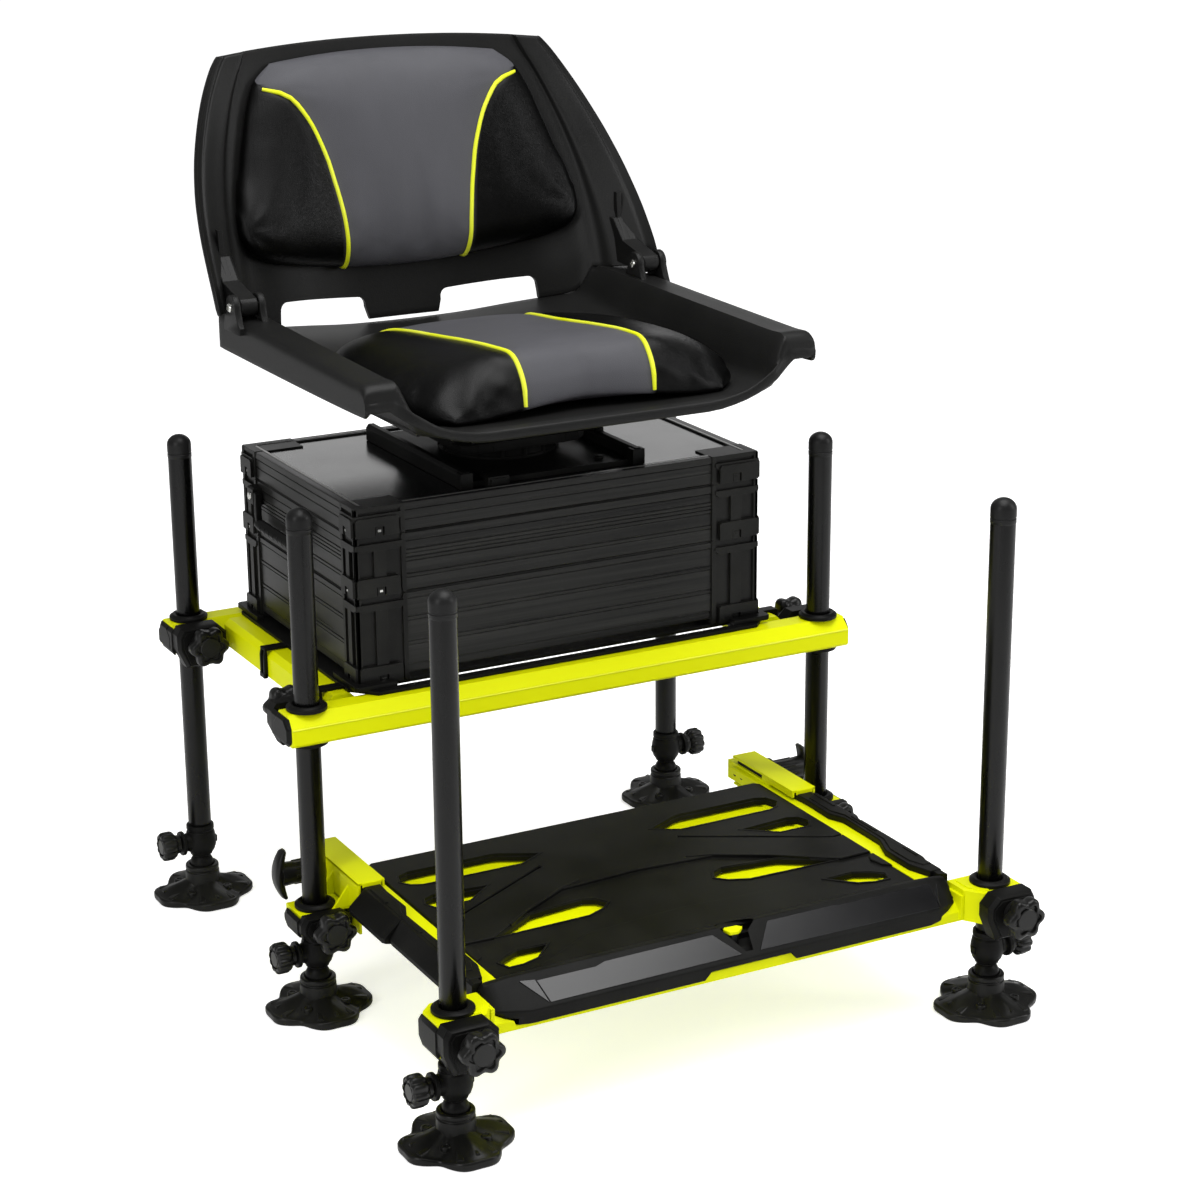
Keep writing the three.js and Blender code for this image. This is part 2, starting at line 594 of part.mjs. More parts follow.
function baseModule() {
  const shares = [[0.06, 0.2], [0.28, 0.46], [0.54, 0.72], [0.8, 0.93]];
  const floor = baseFoot + BOX.standOff;
  return boxShell(floor, baseTop, shares).add(cornerPosts(baseFoot, baseTop))
    .subtract(boxHollow(floor + BOX.floor, baseTop + OVERRUN));
}

function hingeEars(sign) {
  const axis = [BOX.rear + LID_HINGE.barrel, shallowTop];
  const middle = sign * LID_HINGE.offset;
  const ears = [-1, 1].map((end) => {
    const a = middle + end * LID_HINGE.half;
    const b = a - end * LID_HINGE.ear;
    const x = [Math.min(a, b), Math.max(a, b)];
    const y = [BOX.rear - BOX.wall, BOX.rear + LID_HINGE.barrel];
    return rod('x', LID_HINGE.barrel, axis, x[0], x[1], STUD_SIDES)
      .add(block(x, y, [shallowTop - LID_HINGE.leaf, shallowTop]));
  });
  const pin = rod('x', LID_HINGE.pin, axis, middle - LID_HINGE.half, middle + LID_HINGE.half, STUD_SIDES);
  return joined([...ears, pin]);
}

function handleBosses() {
  const bosses = [-1, 1].map((end) => {
    const y = HANDLE.middle + end * (HANDLE.half + HANDLE.bossHalf);
    const x = [-BOX.half - HANDLE.boss, -BOX.half + BOX.wall];
    const z = [handleLevel - HANDLE.bossHalf, handleLevel + HANDLE.bossHalf];
    return block(x, [y - HANDLE.bossHalf, y + HANDLE.bossHalf], z);
  });
  const at = [-BOX.half - HANDLE.boss / 2, handleLevel];
  const hole = rod('y', boreRound(HANDLE.pin), at, HANDLE.middle - HANDLE.half - HANDLE.boss,
    HANDLE.middle + HANDLE.half + HANDLE.boss, STUD_SIDES);
  return joined(bosses).subtract(hole);
}

function shallowModule() {
  const shares = [[0.05, 0.26], [0.36, 0.62], [0.72, 0.92]];
  let module = boxShell(baseTop, shallowTop, shares).add(cornerPosts(baseTop, shallowTop))
    .subtract(boxHollow(baseTop + BOX.floor, shallowTop + OVERRUN));
  for (const sign of [-1, 1]) {
    module = module.add(hingeEars(sign));
  }
  return module.add(handleBosses());
}

function lid() {
  const shares = [[0.12, 0.44], [0.56, 0.8]];
  const skinTop = lidTop - LID.trim;
  const x = BOX.half - BOX.panelInset - LID.trimWidth;
  const y = boxHalfDepth - BOX.panelInset - LID.trimWidth;
  const recess = block([-x, x], [boxMiddle - y, boxMiddle + y], [skinTop, lidTop + OVERRUN]);
  let cover = boxShell(shallowTop, lidTop, shares).add(cornerPosts(shallowTop, lidTop)).subtract(recess)
    .subtract(boxHollow(shallowTop - OVERRUN, skinTop - LID.skin));
  const axis = [BOX.rear + LID_HINGE.barrel, shallowTop];
  for (const sign of [-1, 1]) {
    const middle = sign * LID_HINGE.offset;
    const half = LID_HINGE.half - LID_HINGE.ear - RUN_CLEARANCE;
    const clear = LID_HINGE.half + RUN_CLEARANCE;
    const gapFront = BOX.rear - BOX.panelInset - BOX.rib / 2;
    cover = cover.subtract(block([middle - clear, middle + clear], [gapFront, BOX.rear + BOX.wall],
      [shallowTop - OVERRUN, shallowTop + LID_HINGE.barrel + OVERRUN]));
    const barrel = rod('x', LID_HINGE.barrel, axis, middle - half, middle + half, STUD_SIDES);
    const leaf = block([middle - half, middle + half], [BOX.rear - BOX.wall, BOX.rear + LID_HINGE.barrel],
      [shallowTop + RUN_CLEARANCE, shallowTop + LID_HINGE.barrel]);
    const bore = rod('x', boreRound(LID_HINGE.pin), axis, middle - clear, middle + clear, STUD_SIDES);
    cover = cover.add(barrel).add(leaf).subtract(bore);
  }
  return cover;
}

// A drop handle that hangs against the side of the shallow module
function handle() {
  const x0 = BOX.half + HANDLE.boss / 2;
  const arm = HANDLE.bar / 2;
  const level = handleLevel;
  const reach = HANDLE.half - HANDLE.gap;
  const pieces = [-1, 1].map((end) => {
    const outer = HANDLE.middle + end * reach;
    const inner = outer - end * HANDLE.bar;
    const tip = outer + end * HANDLE.bossHalf;
    const y = [Math.min(outer, inner), Math.max(outer, inner)];
    return block([x0 - arm, x0 + arm], y, [level - HANDLE.drop, level + arm])
      .add(rod('y', HANDLE.pin, [x0, level], Math.min(inner, tip), Math.max(inner, tip), STUD_SIDES));
  });
  const grip = prism('y', [
    [x0 - arm, level - HANDLE.drop - HANDLE.grip / 2], [x0 + arm, level - HANDLE.drop - HANDLE.grip / 2],
    [x0 + HANDLE.bar, level - HANDLE.drop], [x0 + arm, level - HANDLE.drop + HANDLE.grip / 2],
    [x0 - arm, level - HANDLE.drop + HANDLE.grip / 2],
  ], HANDLE.middle - reach, HANDLE.middle + reach);
  return joined([...pieces, grip]);
}

// The seat's swivel: a plate clamped on the lid and a turntable on its ring
const swivelFoot = lidTop - LID.trim;
const ringTop = swivelFoot + SWIVEL.sheet + SWIVEL.ringHeight;

function swivelBase() {
  const level = swivelFoot;
  const depth = [SWIVEL.front, SWIVEL.rear];
  const sheet = block([-SWIVEL.half, SWIVEL.half], depth, [level, level + SWIVEL.sheet]);
  const bars = [-1, 1].map((side) => {
    const x = [side * SWIVEL.half, side * (SWIVEL.half + SWIVEL.bar)].sort((a, b) => a - b);
    return block(x, depth, [level, level + SWIVEL.barHeight]);
  });
  const tabs = [-1, 1].map((side) => {
    const middle = side * SWIVEL.tabAt;
    return block([middle - SWIVEL.tabHalf, middle + SWIVEL.tabHalf],
      [SWIVEL.front - SWIVEL.tabReach, SWIVEL.front + SWIVEL.tabReach], [level, level + SWIVEL.tabHeight]);
  });
  const ring = rod('z', SWIVEL.ring, [0, SWIVEL_Y], level, ringTop, ROUND_SIDES);
  const stem = rod('z', SWIVEL.stem, [0, SWIVEL_Y], level, ringTop + TURNTABLE.discHeight, BUSH_SIDES);
  return joined([sheet, ...bars, ...tabs, ring, stem]);
}

function turntable() {
  const discFoot = ringTop + RUN_CLEARANCE;
  const deckFoot = discFoot + TURNTABLE.discHeight;
  const disc = rod('z', TURNTABLE.disc, [0, SWIVEL_Y], discFoot, deckFoot + OVERRUN, ROUND_SIDES);
  const head = block([-TURNTABLE.half, TURNTABLE.half],
    [SWIVEL_Y - TURNTABLE.depthHalf, SWIVEL_Y + TURNTABLE.depthHalf], [deckFoot, TURNTABLE.top]);
  const bore = rod('z', SWIVEL.stem + TURNTABLE.gap, [0, SWIVEL_Y], discFoot - OVERRUN,
    ringTop + TURNTABLE.discHeight + TURNTABLE.gap, BUSH_SIDES);
  return joined([disc, head]).subtract(bore);
}

// The seat pan: a dished floor between two hollow arms, with a lip round the front. The rows run from
// front to rear; the first two close the arms' sloping front ends.
const panRowShares = [0, 0.02, 0.1, 0.21, 0.33, 0.45, 0.57, 0.69, 0.8, 0.91, 1];

// How far out the columns of the floor and its side walls lie, and how high each rises to the arm,
// at the front and at the rear
const floorShares = [0, 0.311, 0.622, 0.855, 1];
const panReaches = [...floorShares.map((share) => share * PAN.wallFoot),
  mix(PAN.wallFoot, PAN.innerArm, 0.45), PAN.innerArm];
const panRises = [0, 0, 0.01, 0.05, 0.2, 0.6, 1];
const panRearRises = [0, 0.02, 0.13, 0.25, 0.38, 0.68, 1];

function panFloor(share) {
  const front = mix(PAN.floorFront, PAN.floorMiddle, smooth(bounded(share * 3)));
  return mix(front, PAN.floorRear, smooth(bounded((share - 0.4) / 0.6)));
}

function armLevel(share) {
  return mix(PAN.armTop, PAN.armTop + PAN.armRise, share);
}

function panRise(k, share) {
  return k < panRises.length ? mix(panRises[k], panRearRises[k], smooth(share)) : 1;
}

// How far back the outer columns of a row lie, so that the rear edge follows the curve of the back
function panBend(xShare, share) {
  return (PAN.rear - PAN.rearSide) * Math.pow(xShare, 3) * Math.pow(share, 2);
}

// The lip's height: level across the nose, rising to the foot of the arms' front ends
function lipLevel(reach) {
  const outward = bounded((reach - PAN.noseHalf) / (PAN.half - PAN.noseHalf));
  return mix(PAN.floorFront - PAN.lipRoll, PAN.lipSide, Math.pow(outward, 1.8));
}

function armDepth(j, reach) {
  if (j === 0) {
    const outward = bounded((reach - PAN.innerArm) / (PAN.half - PAN.innerArm));
    return mix(PAN.front, PAN.armFoot, Math.pow(outward, 2));
  }
  const [, first] = panRowShares;
  return mix(PAN.armFront, PAN.rear, (panRowShares[j] - first) / (1 - first));
}

function seatPan() {
  const inset = PAN.armSkin;
  const outward = (reach) => reach + (reach < PAN.wallFoot ? 0 : inset);
  const outerColumns = [PAN.half - inset * 2, PAN.half - inset, PAN.half];
  const upperReaches = [...panReaches, ...outerColumns];
  const lowerReaches = [...panReaches.map(outward), ...outerColumns];
  const half = upperReaches.length - 1;
  const skirtFrom = upperReaches.length - RIM_COLUMNS;
  const point = (isUpper) => (i, j) => {
    const k = Math.abs(i - half);
    const share = panRowShares[j];
    const reach = isUpper ? upperReaches[k] : lowerReaches[k];
    const side = Math.sign(i - half) * reach;
    const onArm = bounded((upperReaches[k] - PAN.wallFoot) / (PAN.innerArm - PAN.wallFoot));
    const y = mix(mix(PAN.front, PAN.rear, share), armDepth(j, upperReaches[k]), onArm);
    if (j === 0) {
      return [side, y, lipLevel(upperReaches[k]) - (isUpper ? 0 : PAN.lip)];
    }
    const arm = armLevel(share);
    const depth = y - panBend(upperReaches[k] / PAN.half, share);
    if (isUpper) {
      const edge = k === half ? PAN.edgeDrop : 0;
      return [side, depth, mix(panFloor(share), arm, panRise(k, share)) - edge];
    }
    const z = k >= skirtFrom ? arm - PAN.skirt : mix(panFloor(share), arm, panRise(k, share)) - PAN.skin;
    return [side, depth + (j === 1 ? inset * onArm : 0), z];
  };
  const shell = skin(bothSides(upperReaches), panRowShares.length, point(true), point(false));
  const pad = block([-PAN.padHalf, PAN.padHalf], [PAN.padFront, PAN.padRear],
    [TURNTABLE.top, PAN.floorMiddle - PAN.skin / 2]);
  return shell.add(pad);
}

function panWithEars() {
  let pan = seatPan();
  for (const side of [-1, 1]) {
    const middle = side * HINGE.offset;
    const reach = HINGE.knuckleHalf + HINGE.gap;
    for (const end of [-1, 1]) {
      const a = middle + end * reach;
      const b = a + end * HINGE.ear;
      const x = [Math.min(a, b), Math.max(a, b)];
      const y = [HINGE.y - HINGE.earRadius, HINGE.y + HINGE.earRadius];
      const ear = rod('x', HINGE.earRadius, [HINGE.y, HINGE.z], x[0], x[1], BUSH_SIDES)
        .add(block(x, y, [PAN.armTop - PAN.armSkin, HINGE.z]));
      pan = pan.add(ear);
    }
    const pinHalf = reach + OVERRUN;
    pan = pan.add(rod('x', HINGE.pin, [HINGE.y, HINGE.z], middle - pinHalf, middle + pinHalf, STUD_SIDES));
  }
  return pan;
}

// The seat back: a shell whose sides come forward, more so towards its foot
const heightShares = [0, 0.149, 0.315, 0.481, 0.647, 0.813, 0.938, 1];
const halfShares = [1, 1, 0.9885, 0.96, 0.912, 0.845, 0.782, 0.737];
const depthShares = [0, 0.137, 0.327, 0.516, 0.686, 0.85, 0.954, 1];
const sideHeights = heightShares.map((share) => mix(BACK.sideFoot, BACK.sideCrest, share));
const sideHalves = halfShares.map((share) => share * BACK.half);
const sideDepths = depthShares.map((share) => mix(BACK.sideFront, BACK.sideRear, share));

function along(values, heights, z) {
  let k = 0;
  while (k + 2 < heights.length && z > heights[k + 1]) {
    k += 1;
  }
  return mix(values[k], values[k + 1], bounded((z - heights[k]) / (heights[k + 1] - heights[k])));
}

function backDepth(x, z) {
  const half = along(sideHalves, sideHeights, z);
  const centre = BACK.centreBottom + BACK.lean * (z - BACK.bottom);
  return mix(centre, along(sideDepths, sideHeights, z), Math.pow(bounded(Math.abs(x) / half), 3));
}

// The columns of the back, as shares of its half width, and how far up its sides' foot each one ends
const backShares = [0, 0.2, 0.4, 0.58, 0.74, 0.815, BACK.rimShare, BACK.rimShare + 0.02, 1];
const backFeet = [0, 0, 0.05, 0.15, 0.34, 1, 1, 1, 1];

// The front of the back at a place, following its facets from column to column
function backSurface(x, z) {
  const share = bounded(Math.abs(x) / along(sideHalves, sideHeights, z));
  const centre = BACK.centreBottom + BACK.lean * (z - BACK.bottom);
  const forward = along(backShares.map((value) => Math.pow(value, 3)), backShares, share);
  return mix(centre, along(sideDepths, sideHeights, z), forward);
}

function seatBack() {
  const xShares = backShares;
  const zShares = [0, 0.1, 0.24, 0.4, 0.56, 0.72, 0.86, 0.96, 1];
  const half = xShares.length - 1;
  const rimFrom = xShares.length - RIM_COLUMNS;
  const point = (front) => (i, j) => {
    const k = Math.abs(i - half);
    const side = Math.sign(i - half);
    const foot = mix(BACK.bottom, BACK.sideBottom, backFeet[k]);
    const crest = mix(BACK.top, sideHeights[sideHeights.length - 1], Math.pow(xShares[k], 2));
    const z = mix(foot, crest, zShares[j]);
    const x = xShares[k] * along(sideHalves, sideHeights, z);
    const raise = k >= rimFrom ? BACK.rimRaise : 0;
    const y = backDepth(x, z) + (front ? -raise : BACK.skin);
    return [side * x, y, z];
  };
  let back = skin(bothSides(xShares), zShares.length, point(true), point(false));
  for (const side of [-1, 1]) {
    const x = [side * BACK.slotInner, side * BACK.slotOuter].sort((a, b) => a - b);
    const y = [HINGE.y, BACK.centreBottom + BACK.skin * 4];
    back = back.subtract(block(x, y, [BACK.bottom - OVERRUN, BACK.slotTop]));
    const middle = side * HINGE.offset;
    const span = [middle - HINGE.knuckleHalf, middle + HINGE.knuckleHalf];
    const foot = backDepth(HINGE.offset, BACK.sideBottom + HINGE.knuckle);
    const knuckle = rod('x', HINGE.knuckle, [HINGE.y, HINGE.z], span[0], span[1], BUSH_SIDES);
    const webTop = HINGE.z + HINGE.knuckle * 2;
    const web = prism('x', [
      [HINGE.y, HINGE.z - HINGE.knuckle], [foot + BACK.skin / 2, BACK.sideBottom],
      [foot + BACK.skin * 2, webTop], [foot - BACK.skin / 2, webTop],
      [HINGE.y, HINGE.z + HINGE.knuckle],
    ], span[0], span[1]);
    const bore = rod('x', boreRound(HINGE.pin), [HINGE.y, HINGE.z], span[0] - OVERRUN, span[1] + OVERRUN,
      STUD_SIDES);
    back = back.add(knuckle).add(web).subtract(bore);
  }
  return back;
}

// Cushions: columns run across with one at each seam, rows run along. The outermost ring of both
// faces lies in from the widest ring, so that the sides draw in.
const cushionShares = [0, 0.02, 0.055, 0.11, 0.2, 0.32, 0.45, 0.58, 0.7, 0.81, 0.9, 0.96, 1];

function cushion(size, outline, base, place) {
  const last = cushionShares.length - 1;
  const acrossAt = (j) => {
    const { reach, seam } = outline(j);
    const line = Math.min(seam, reach - size.seamWidth * 3);
    const out = (share) => mix(line, reach, share);
    return [0, line * 0.5, line - size.seamWidth, line, line + size.seamWidth, out(0.4), out(0.75), reach,
      reach - size.tuck];
  };
  const half = acrossAt(0).length - 1;
  const point = (isTop) => (i, j) => {
    const k = Math.abs(i - half);
    const x = acrossAt(j)[k];
    const { reach, height } = outline(j);
    const [u, v] = place(x / reach, cushionShares[j]);
    const ends = 1 - Math.pow(Math.abs(2 * cushionShares[j] - 1), size.endPower);
    const sides = 1 - Math.pow(x / reach, 5);
    const groove = k === SEAM_COLUMN ? size.seamDepth : 0;
    const crown = Math.max(size.edge, size.edge + (height - size.edge) * ends * sides - groove);
    const rim = k === half || j === 0 || j === last;
    const lift = isTop ? (rim ? size.edge * 0.7 : crown) : (rim ? size.edge * 0.3 : 0);
    return base(Math.sign(i - half) * x, u + v, lift);
  };
  return skin(bothSides(acrossAt(0)), cushionShares.length, point(true), point(false));
}

// Each row of a cushion: its half width, its seam and its height as shares of the cushion's sizes
const seatWidths = [0.78, 0.85, 0.91, 0.95, 0.98, 1, 1, 1, 0.985, 0.95, 0.87, 0.77, 0.64];
const seatHeights = [1, 1, 1, 1, 0.99, 0.97, 0.91, 0.82, 0.7, 0.58, 0.47, 0.41, 0.36];
const backWidths = [0.79, 0.87, 0.94, 0.985, 1, 0.985, 0.955, 0.92, 0.885, 0.85, 0.8, 0.73, 0.62];
const backSeams = [0.36, 0.36, 0.37, 0.37, 0.375, 0.39, 0.41, 0.45, 0.52, 0.61, 0.7, 0.66, 0.55];

function seatCushion() {
  const outline = (j) => ({ reach: SEAT_CUSHION.half * seatWidths[j], seam: SEAT_CUSHION.seam,
    height: SEAT_CUSHION.height * seatHeights[j] });
  const place = (across, share) => [mix(SEAT_CUSHION.front, SEAT_CUSHION.rear, share),
    SEAT_CUSHION.dent * Math.pow(1 - across, 2) * Math.pow(1 - share, 6)];
  const base = (x, y, lift) => [x, y, panSurface(x, y) + SEAT_CUSHION.gap + lift];
  return cushion(SEAT_CUSHION, outline, base, place);
}

// The height of the pan's floor at a place, following its facets
function panSurface(x, y) {
  const reach = Math.abs(x);
  const span = PAN.rear - PAN.front;
  const flat = bounded((y - PAN.front) / span);
  const share = bounded((y + panBend(reach / PAN.half, flat) - PAN.front) / span);
  let j = 1;
  while (j + 2 < panRowShares.length && share > panRowShares[j + 1]) {
    j += 1;
  }
  const level = (row) => {
    const rises = panReaches.map((value, k) => panRise(k, panRowShares[row]));
    return mix(panFloor(panRowShares[row]), armLevel(panRowShares[row]), along(rises, panReaches, reach));
  };
  return mix(level(j), level(j + 1), (share - panRowShares[j]) / (panRowShares[j + 1] - panRowShares[j]));
}

function backCushion() {
  const outline = (j) => ({ reach: BACK_CUSHION.half * backWidths[j], seam: BACK_CUSHION.half * backSeams[j],
    height: BACK_CUSHION.height });
  const place = (across, share) => {
    const bow = 1 - across * across;
    const arch = BACK_CUSHION.arch * Math.pow(share, 3);
    const sag = BACK_CUSHION.sag * Math.pow(1 - share, 3);
    return [mix(BACK_CUSHION.bottom, BACK_CUSHION.top, share), bow * (arch - sag)];
  };
  const base = (x, z, lift) => [x, backSurface(x, z) - BACK_CUSHION.gap - lift, z];
  return cushion(BACK_CUSHION, outline, base, place);
}

// The footplate: a welded frame, two slide rails, a moulded deck and the sleeves that carry it
function plateFrame() {
  const y = (value) => -value;
  const half = LEG.sideOffset - BUSH.radius;
  const rail = prism('x', [
    [y(PLATE.railFront), PLATE.blockBottom], [y(PLATE.railRear), PLATE.blockBottom],
    [y(PLATE.railRear), PLATE.railTop], [y(PLATE.railFront) + PLATE.railChamfer, PLATE.railTop],
    [y(PLATE.railFront), PLATE.railTop - PLATE.railChamfer],
  ], -half, half);
  const pieces = [rail];
  const front = -PLATE_REACH - PLATE.blockFront;
  const rear = -PLATE_REACH + PLATE.blockRear;
  const railBack = y(PLATE.railRear);
  for (const side of [-1, 1]) {
    const across = (a, b) => (side > 0 ? [a, b] : [-b, -a]);
    const end = LEG.sideOffset + RAIL.endReach;
    pieces.push(prism('z', [
      [side * PLATE.blockInner, y(PLATE.railFront)], [side * (PLATE.blockInner + PLATE.railChamfer), front],
      [side * end, front], [side * end, rear - PLATE.railChamfer], [side * (end - PLATE.railChamfer), rear],
      [side * PLATE.blockInner, rear],
    ], PLATE.blockBottom, PLATE.blockTop));
    const member = across(PLATE.memberInner, PLATE.memberOuter);
    const strip = across(DECK.half + RUN_CLEARANCE, PLATE.memberOuter);
    pieces.push(block(member, [railBack - OVERRUN, PLATE.memberRear], [PLATE.memberBottom, PLATE.memberTop]));
    pieces.push(block(strip, [railBack, PLATE.memberRear], [PLATE.memberTop - OVERRUN, PLATE.stripTop]));
    pieces.push(block(member, [DECK.rear + RUN_CLEARANCE, PLATE.memberRear],
      [PLATE.memberTop - OVERRUN, PLATE.heelTop]));
  }
  for (const [from, to] of CROSS_SHARES) {
    pieces.push(block([-PLATE.memberInner - OVERRUN, PLATE.memberInner + OVERRUN],
      [mix(DECK.rear, railBack, to), mix(DECK.rear, railBack, from)],
      [PLATE.memberTop - PLATE.crossThickness, PLATE.memberTop]));
  }
  pieces.push(block([-DECK.windowHalf * 2, DECK.windowHalf * 2],
    [railBack - OVERRUN, railBack + DECK.windowHalf * 3],
    [PLATE.railTop - PLATE.crossThickness, PLATE.memberTop]));
  let frame = joined(pieces);
  for (const side of [-1, 1]) {
    frame = frame.subtract(clampCut(side * LEG.sideOffset, -PLATE_REACH, -1, PLATE.blockBottom,
      PLATE.blockTop, PLATE.blockFront));
    for (const share of [0.3, 0.62]) {
      const hole = [mix(DECK.rear, PLATE.memberRear, share), mix(PLATE.memberBottom, PLATE.heelTop, 0.62)];
      const x = [PLATE.memberInner - OVERRUN, PLATE.memberInner + PLATE.crossThickness * 2];
      const range = side > 0 ? x : [-x[1], -x[0]];
      frame = frame.subtract(rod('x', T_KNOB.stem / 3, hole, range[0], range[1], STUD_SIDES));
    }
  }
  return frame;
}

// Where the cross members lie, as shares of the deck from its rear edge forward
const CROSS_SHARES = [[0.1, 0.46], [0.56, 0.92]];

// Slots in the right half of the deck, as shares of its half width and of its length from the rear
const SLOT_SHARES = [
  [[0.29, 0.195], [0.47, 0.133], [0.9, 0.133], [0.945, 0.19], [0.875, 0.24], [0.4, 0.24]],
  [[0.82, 0.702], [0.6, 0.595], [0.34, 0.575], [0.265, 0.635], [0.39, 0.692]],
  [[0.64, 0.348], [0.89, 0.335], [0.945, 0.385], [0.925, 0.43], [0.77, 0.422]],
  [[0.68, 0.812], [0.81, 0.812], [0.925, 0.868], [0.905, 0.905], [0.77, 0.888]],
];

function deck() {
  const y = (value) => -value;
  const outline = [
    [-DECK.half, y(DECK.inner)], [DECK.half, y(DECK.inner)],
    [DECK.half, DECK.rear], [-DECK.half, DECK.rear],
  ];
  const holes = [];
  for (const side of [-1, 1]) {
    for (const shares of SLOT_SHARES) {
      holes.push(shares.map(([u, v]) => [side * u * DECK.half, mix(DECK.rear, y(PLATE.railRear), v)]));
    }
  }
  const openHoles = holes.filter((hole) => Math.max(...hole.map((p) => Math.abs(p[1]))) < DECK.inner);
  const cutHoles = holes.filter((hole) => !openHoles.includes(hole));
  let plate = prism('z', outline, PLATE.memberTop, DECK.top, openHoles);
  const frontRail = y(PLATE.railFront);
  const rearRail = y(PLATE.railRear);
  const inner = y(DECK.inner);
  const crest = y(DECK.crest);
  const nose = y(DECK.nose);
  const gap = RUN_CLEARANCE;
  const railClear = rearRail - OVERRUN - gap;
  const moulding = prism('x', [
    [inner + OVERRUN, DECK.top], [inner + OVERRUN, PLATE.memberTop],
    [railClear, PLATE.memberTop], [railClear, PLATE.railTop + gap],
    [frontRail + PLATE.railChamfer, PLATE.railTop + gap],
    [frontRail - gap, PLATE.railTop - PLATE.railChamfer + gap],
    [frontRail - gap, DECK.lipBottom], [nose, DECK.lipBottom], [nose, DECK.ridgeHeight], [crest, DECK.top],
  ], -DECK_RIDGE, DECK_RIDGE);
  // the right half of the moulding seen from above, from its rear edge round to its nose
  const rightPlan = [
    [DECK.half, inner + OVERRUN], [DECK.half, inner], [DECK_MOULDING, mix(inner, crest, 0.7)],
    [DECK_RIDGE, crest - DECK.skin * 4], [DECK_MOULDING - DECK.skin, nose - OVERRUN],
  ];
  const leftPlan = rightPlan.map(([u, v]) => [-u, v]).reverse();
  const plan = prism('z', [...rightPlan, ...leftPlan].reverse(), PLATE.blockBottom, DECK.top + OVERRUN);
  // the strip beside the deck and the slide rail run up to the front rail under the moulding's wings
  plate = plate.add(moulding.intersect(plan));
  for (const side of [-1, 1]) {
    const across = (a, b) => (side > 0 ? [a, b] : [-b, -a]);
    plate = plate.subtract(block(across(DECK.half, DECK_RIDGE + OVERRUN),
      [rearRail - gap, inner + OVERRUN * 2], [PLATE.blockBottom, SLIDE_RAIL.top + gap]));
  }
  plate = plate.subtract(block([-DECK.notchHalf, DECK.notchHalf], [nose - OVERRUN, frontRail + OVERRUN],
    [DECK.lipBottom - OVERRUN, DECK.notchTop]));
  const hexagon = [0, 1, 2, 3, 4, 5].map((k) => {
    const turn = (k / 6) * 2 * Math.PI;
    return [DECK.windowHalf * Math.cos(turn), y(DECK.windowAt) + DECK.windowHalf * 0.6 * Math.sin(turn)];
  });
  plate = plate.subtract(prism('z', hexagon, PLATE.memberTop - OVERRUN, DECK.top + OVERRUN));
  for (const hole of cutHoles) {
    plate = plate.subtract(prism('z', hole, PLATE.memberTop - OVERRUN, DECK.top + OVERRUN));
  }
  return plate;
}

// A black slide rail that runs in its sleeve, with a sloping wing along the deck
function slideRail() {
  const y = (value) => -value;
  const inner = PLATE.memberOuter;
  const outer = SLIDE_RAIL.outer;
  const end = PLATE.memberRear;
  const bar = block([inner, outer], [y(PLATE.railRear), end], [SLIDE_RAIL.bottom, SLIDE_RAIL.top]);
  const wall = SLIDE_RAIL.wall;
  const pocket = block([inner + wall, outer - wall], [end - SLIDE_RAIL.pocket, end + OVERRUN],
    [SLIDE_RAIL.bottom + wall, SLIDE_RAIL.top - wall]);
  const wing = (reach, from, to) => prism('y', [
    [outer - OVERRUN, SLIDE_RAIL.bottom], [reach, SLIDE_RAIL.wingBottom], [reach, SLIDE_RAIL.wingTop],
    [outer, SLIDE_RAIL.crestTop], [SLIDE_RAIL.wingCrest, SLIDE_RAIL.crestTop],
    [SLIDE_RAIL.wingCrest - SLIDE_RAIL.step, SLIDE_RAIL.top - OVERRUN],
    [outer - OVERRUN, SLIDE_RAIL.top - OVERRUN * 2],
  ], from, to);
  const rear = y(SLIDE_RAIL.wingRear);
  const front = y(SLIDE_RAIL.wingFront);
  const stepAt = mix(rear, front, 0.42);
  const rearWing = wing(SLIDE_RAIL.wing, stepAt, rear);
  const frontWing = wing(SLIDE_RAIL.wing - SLIDE_RAIL.step, front, stepAt + OVERRUN);
  return bar.subtract(pocket).add(rearWing).add(frontWing);
}

// A sleeve for the slide rail, open inwards, on a bracket round the front leg
function sleeveBracket() {
  const inner = PLATE.memberOuter - SLEEVE.lap;
  const bottom = SLIDE_RAIL.bottom - RUN_CLEARANCE;
  const top = SLIDE_RAIL.crestTop;
  const web = SLIDE_RAIL.outer + RUN_CLEARANCE;
  const y = [-SLEEVE.front, SLEEVE.rear];
  const roof = block([inner, web + SLEEVE.wall], y, [top, top + SLEEVE.wall]);
  const side = block([web, web + SLEEVE.wall], y, [BRACKET.bottom, top + SLEEVE.wall]);
  const shelf = block([PLATE.memberOuter + OVERRUN, web + SLEEVE.wall], y, [bottom - SLEEVE.wall, bottom]);
  const end = LEG.sideOffset + BRACKET.endReach;
  const carrier = block([web, end], [-BRACKET.half, BRACKET.half], [BRACKET.bottom, BRACKET.top]);
  const slope = prism('z', [
    [web, -BRACKET.half], [web + BRACKET.half, -BRACKET.half],
    [web + BRACKET.half, BRACKET.half], [web + SLEEVE.wall, SLEEVE.rear], [web, SLEEVE.rear],
  ], BRACKET.bottom, BRACKET.bottom + SLEEVE.wall);
  const reach = clampCut(LEG.sideOffset, 0, -1, BRACKET.bottom, BRACKET.top, BRACKET.half);
  const screw = rod('x', boreRound(T_KNOB.tip), [T_KNOB.at, knobLevel], web - OVERRUN,
    web + SLEEVE.wall + OVERRUN, STUD_SIDES);
  return joined([roof, side, shelf, carrier, slope]).subtract(reach).subtract(screw);
}

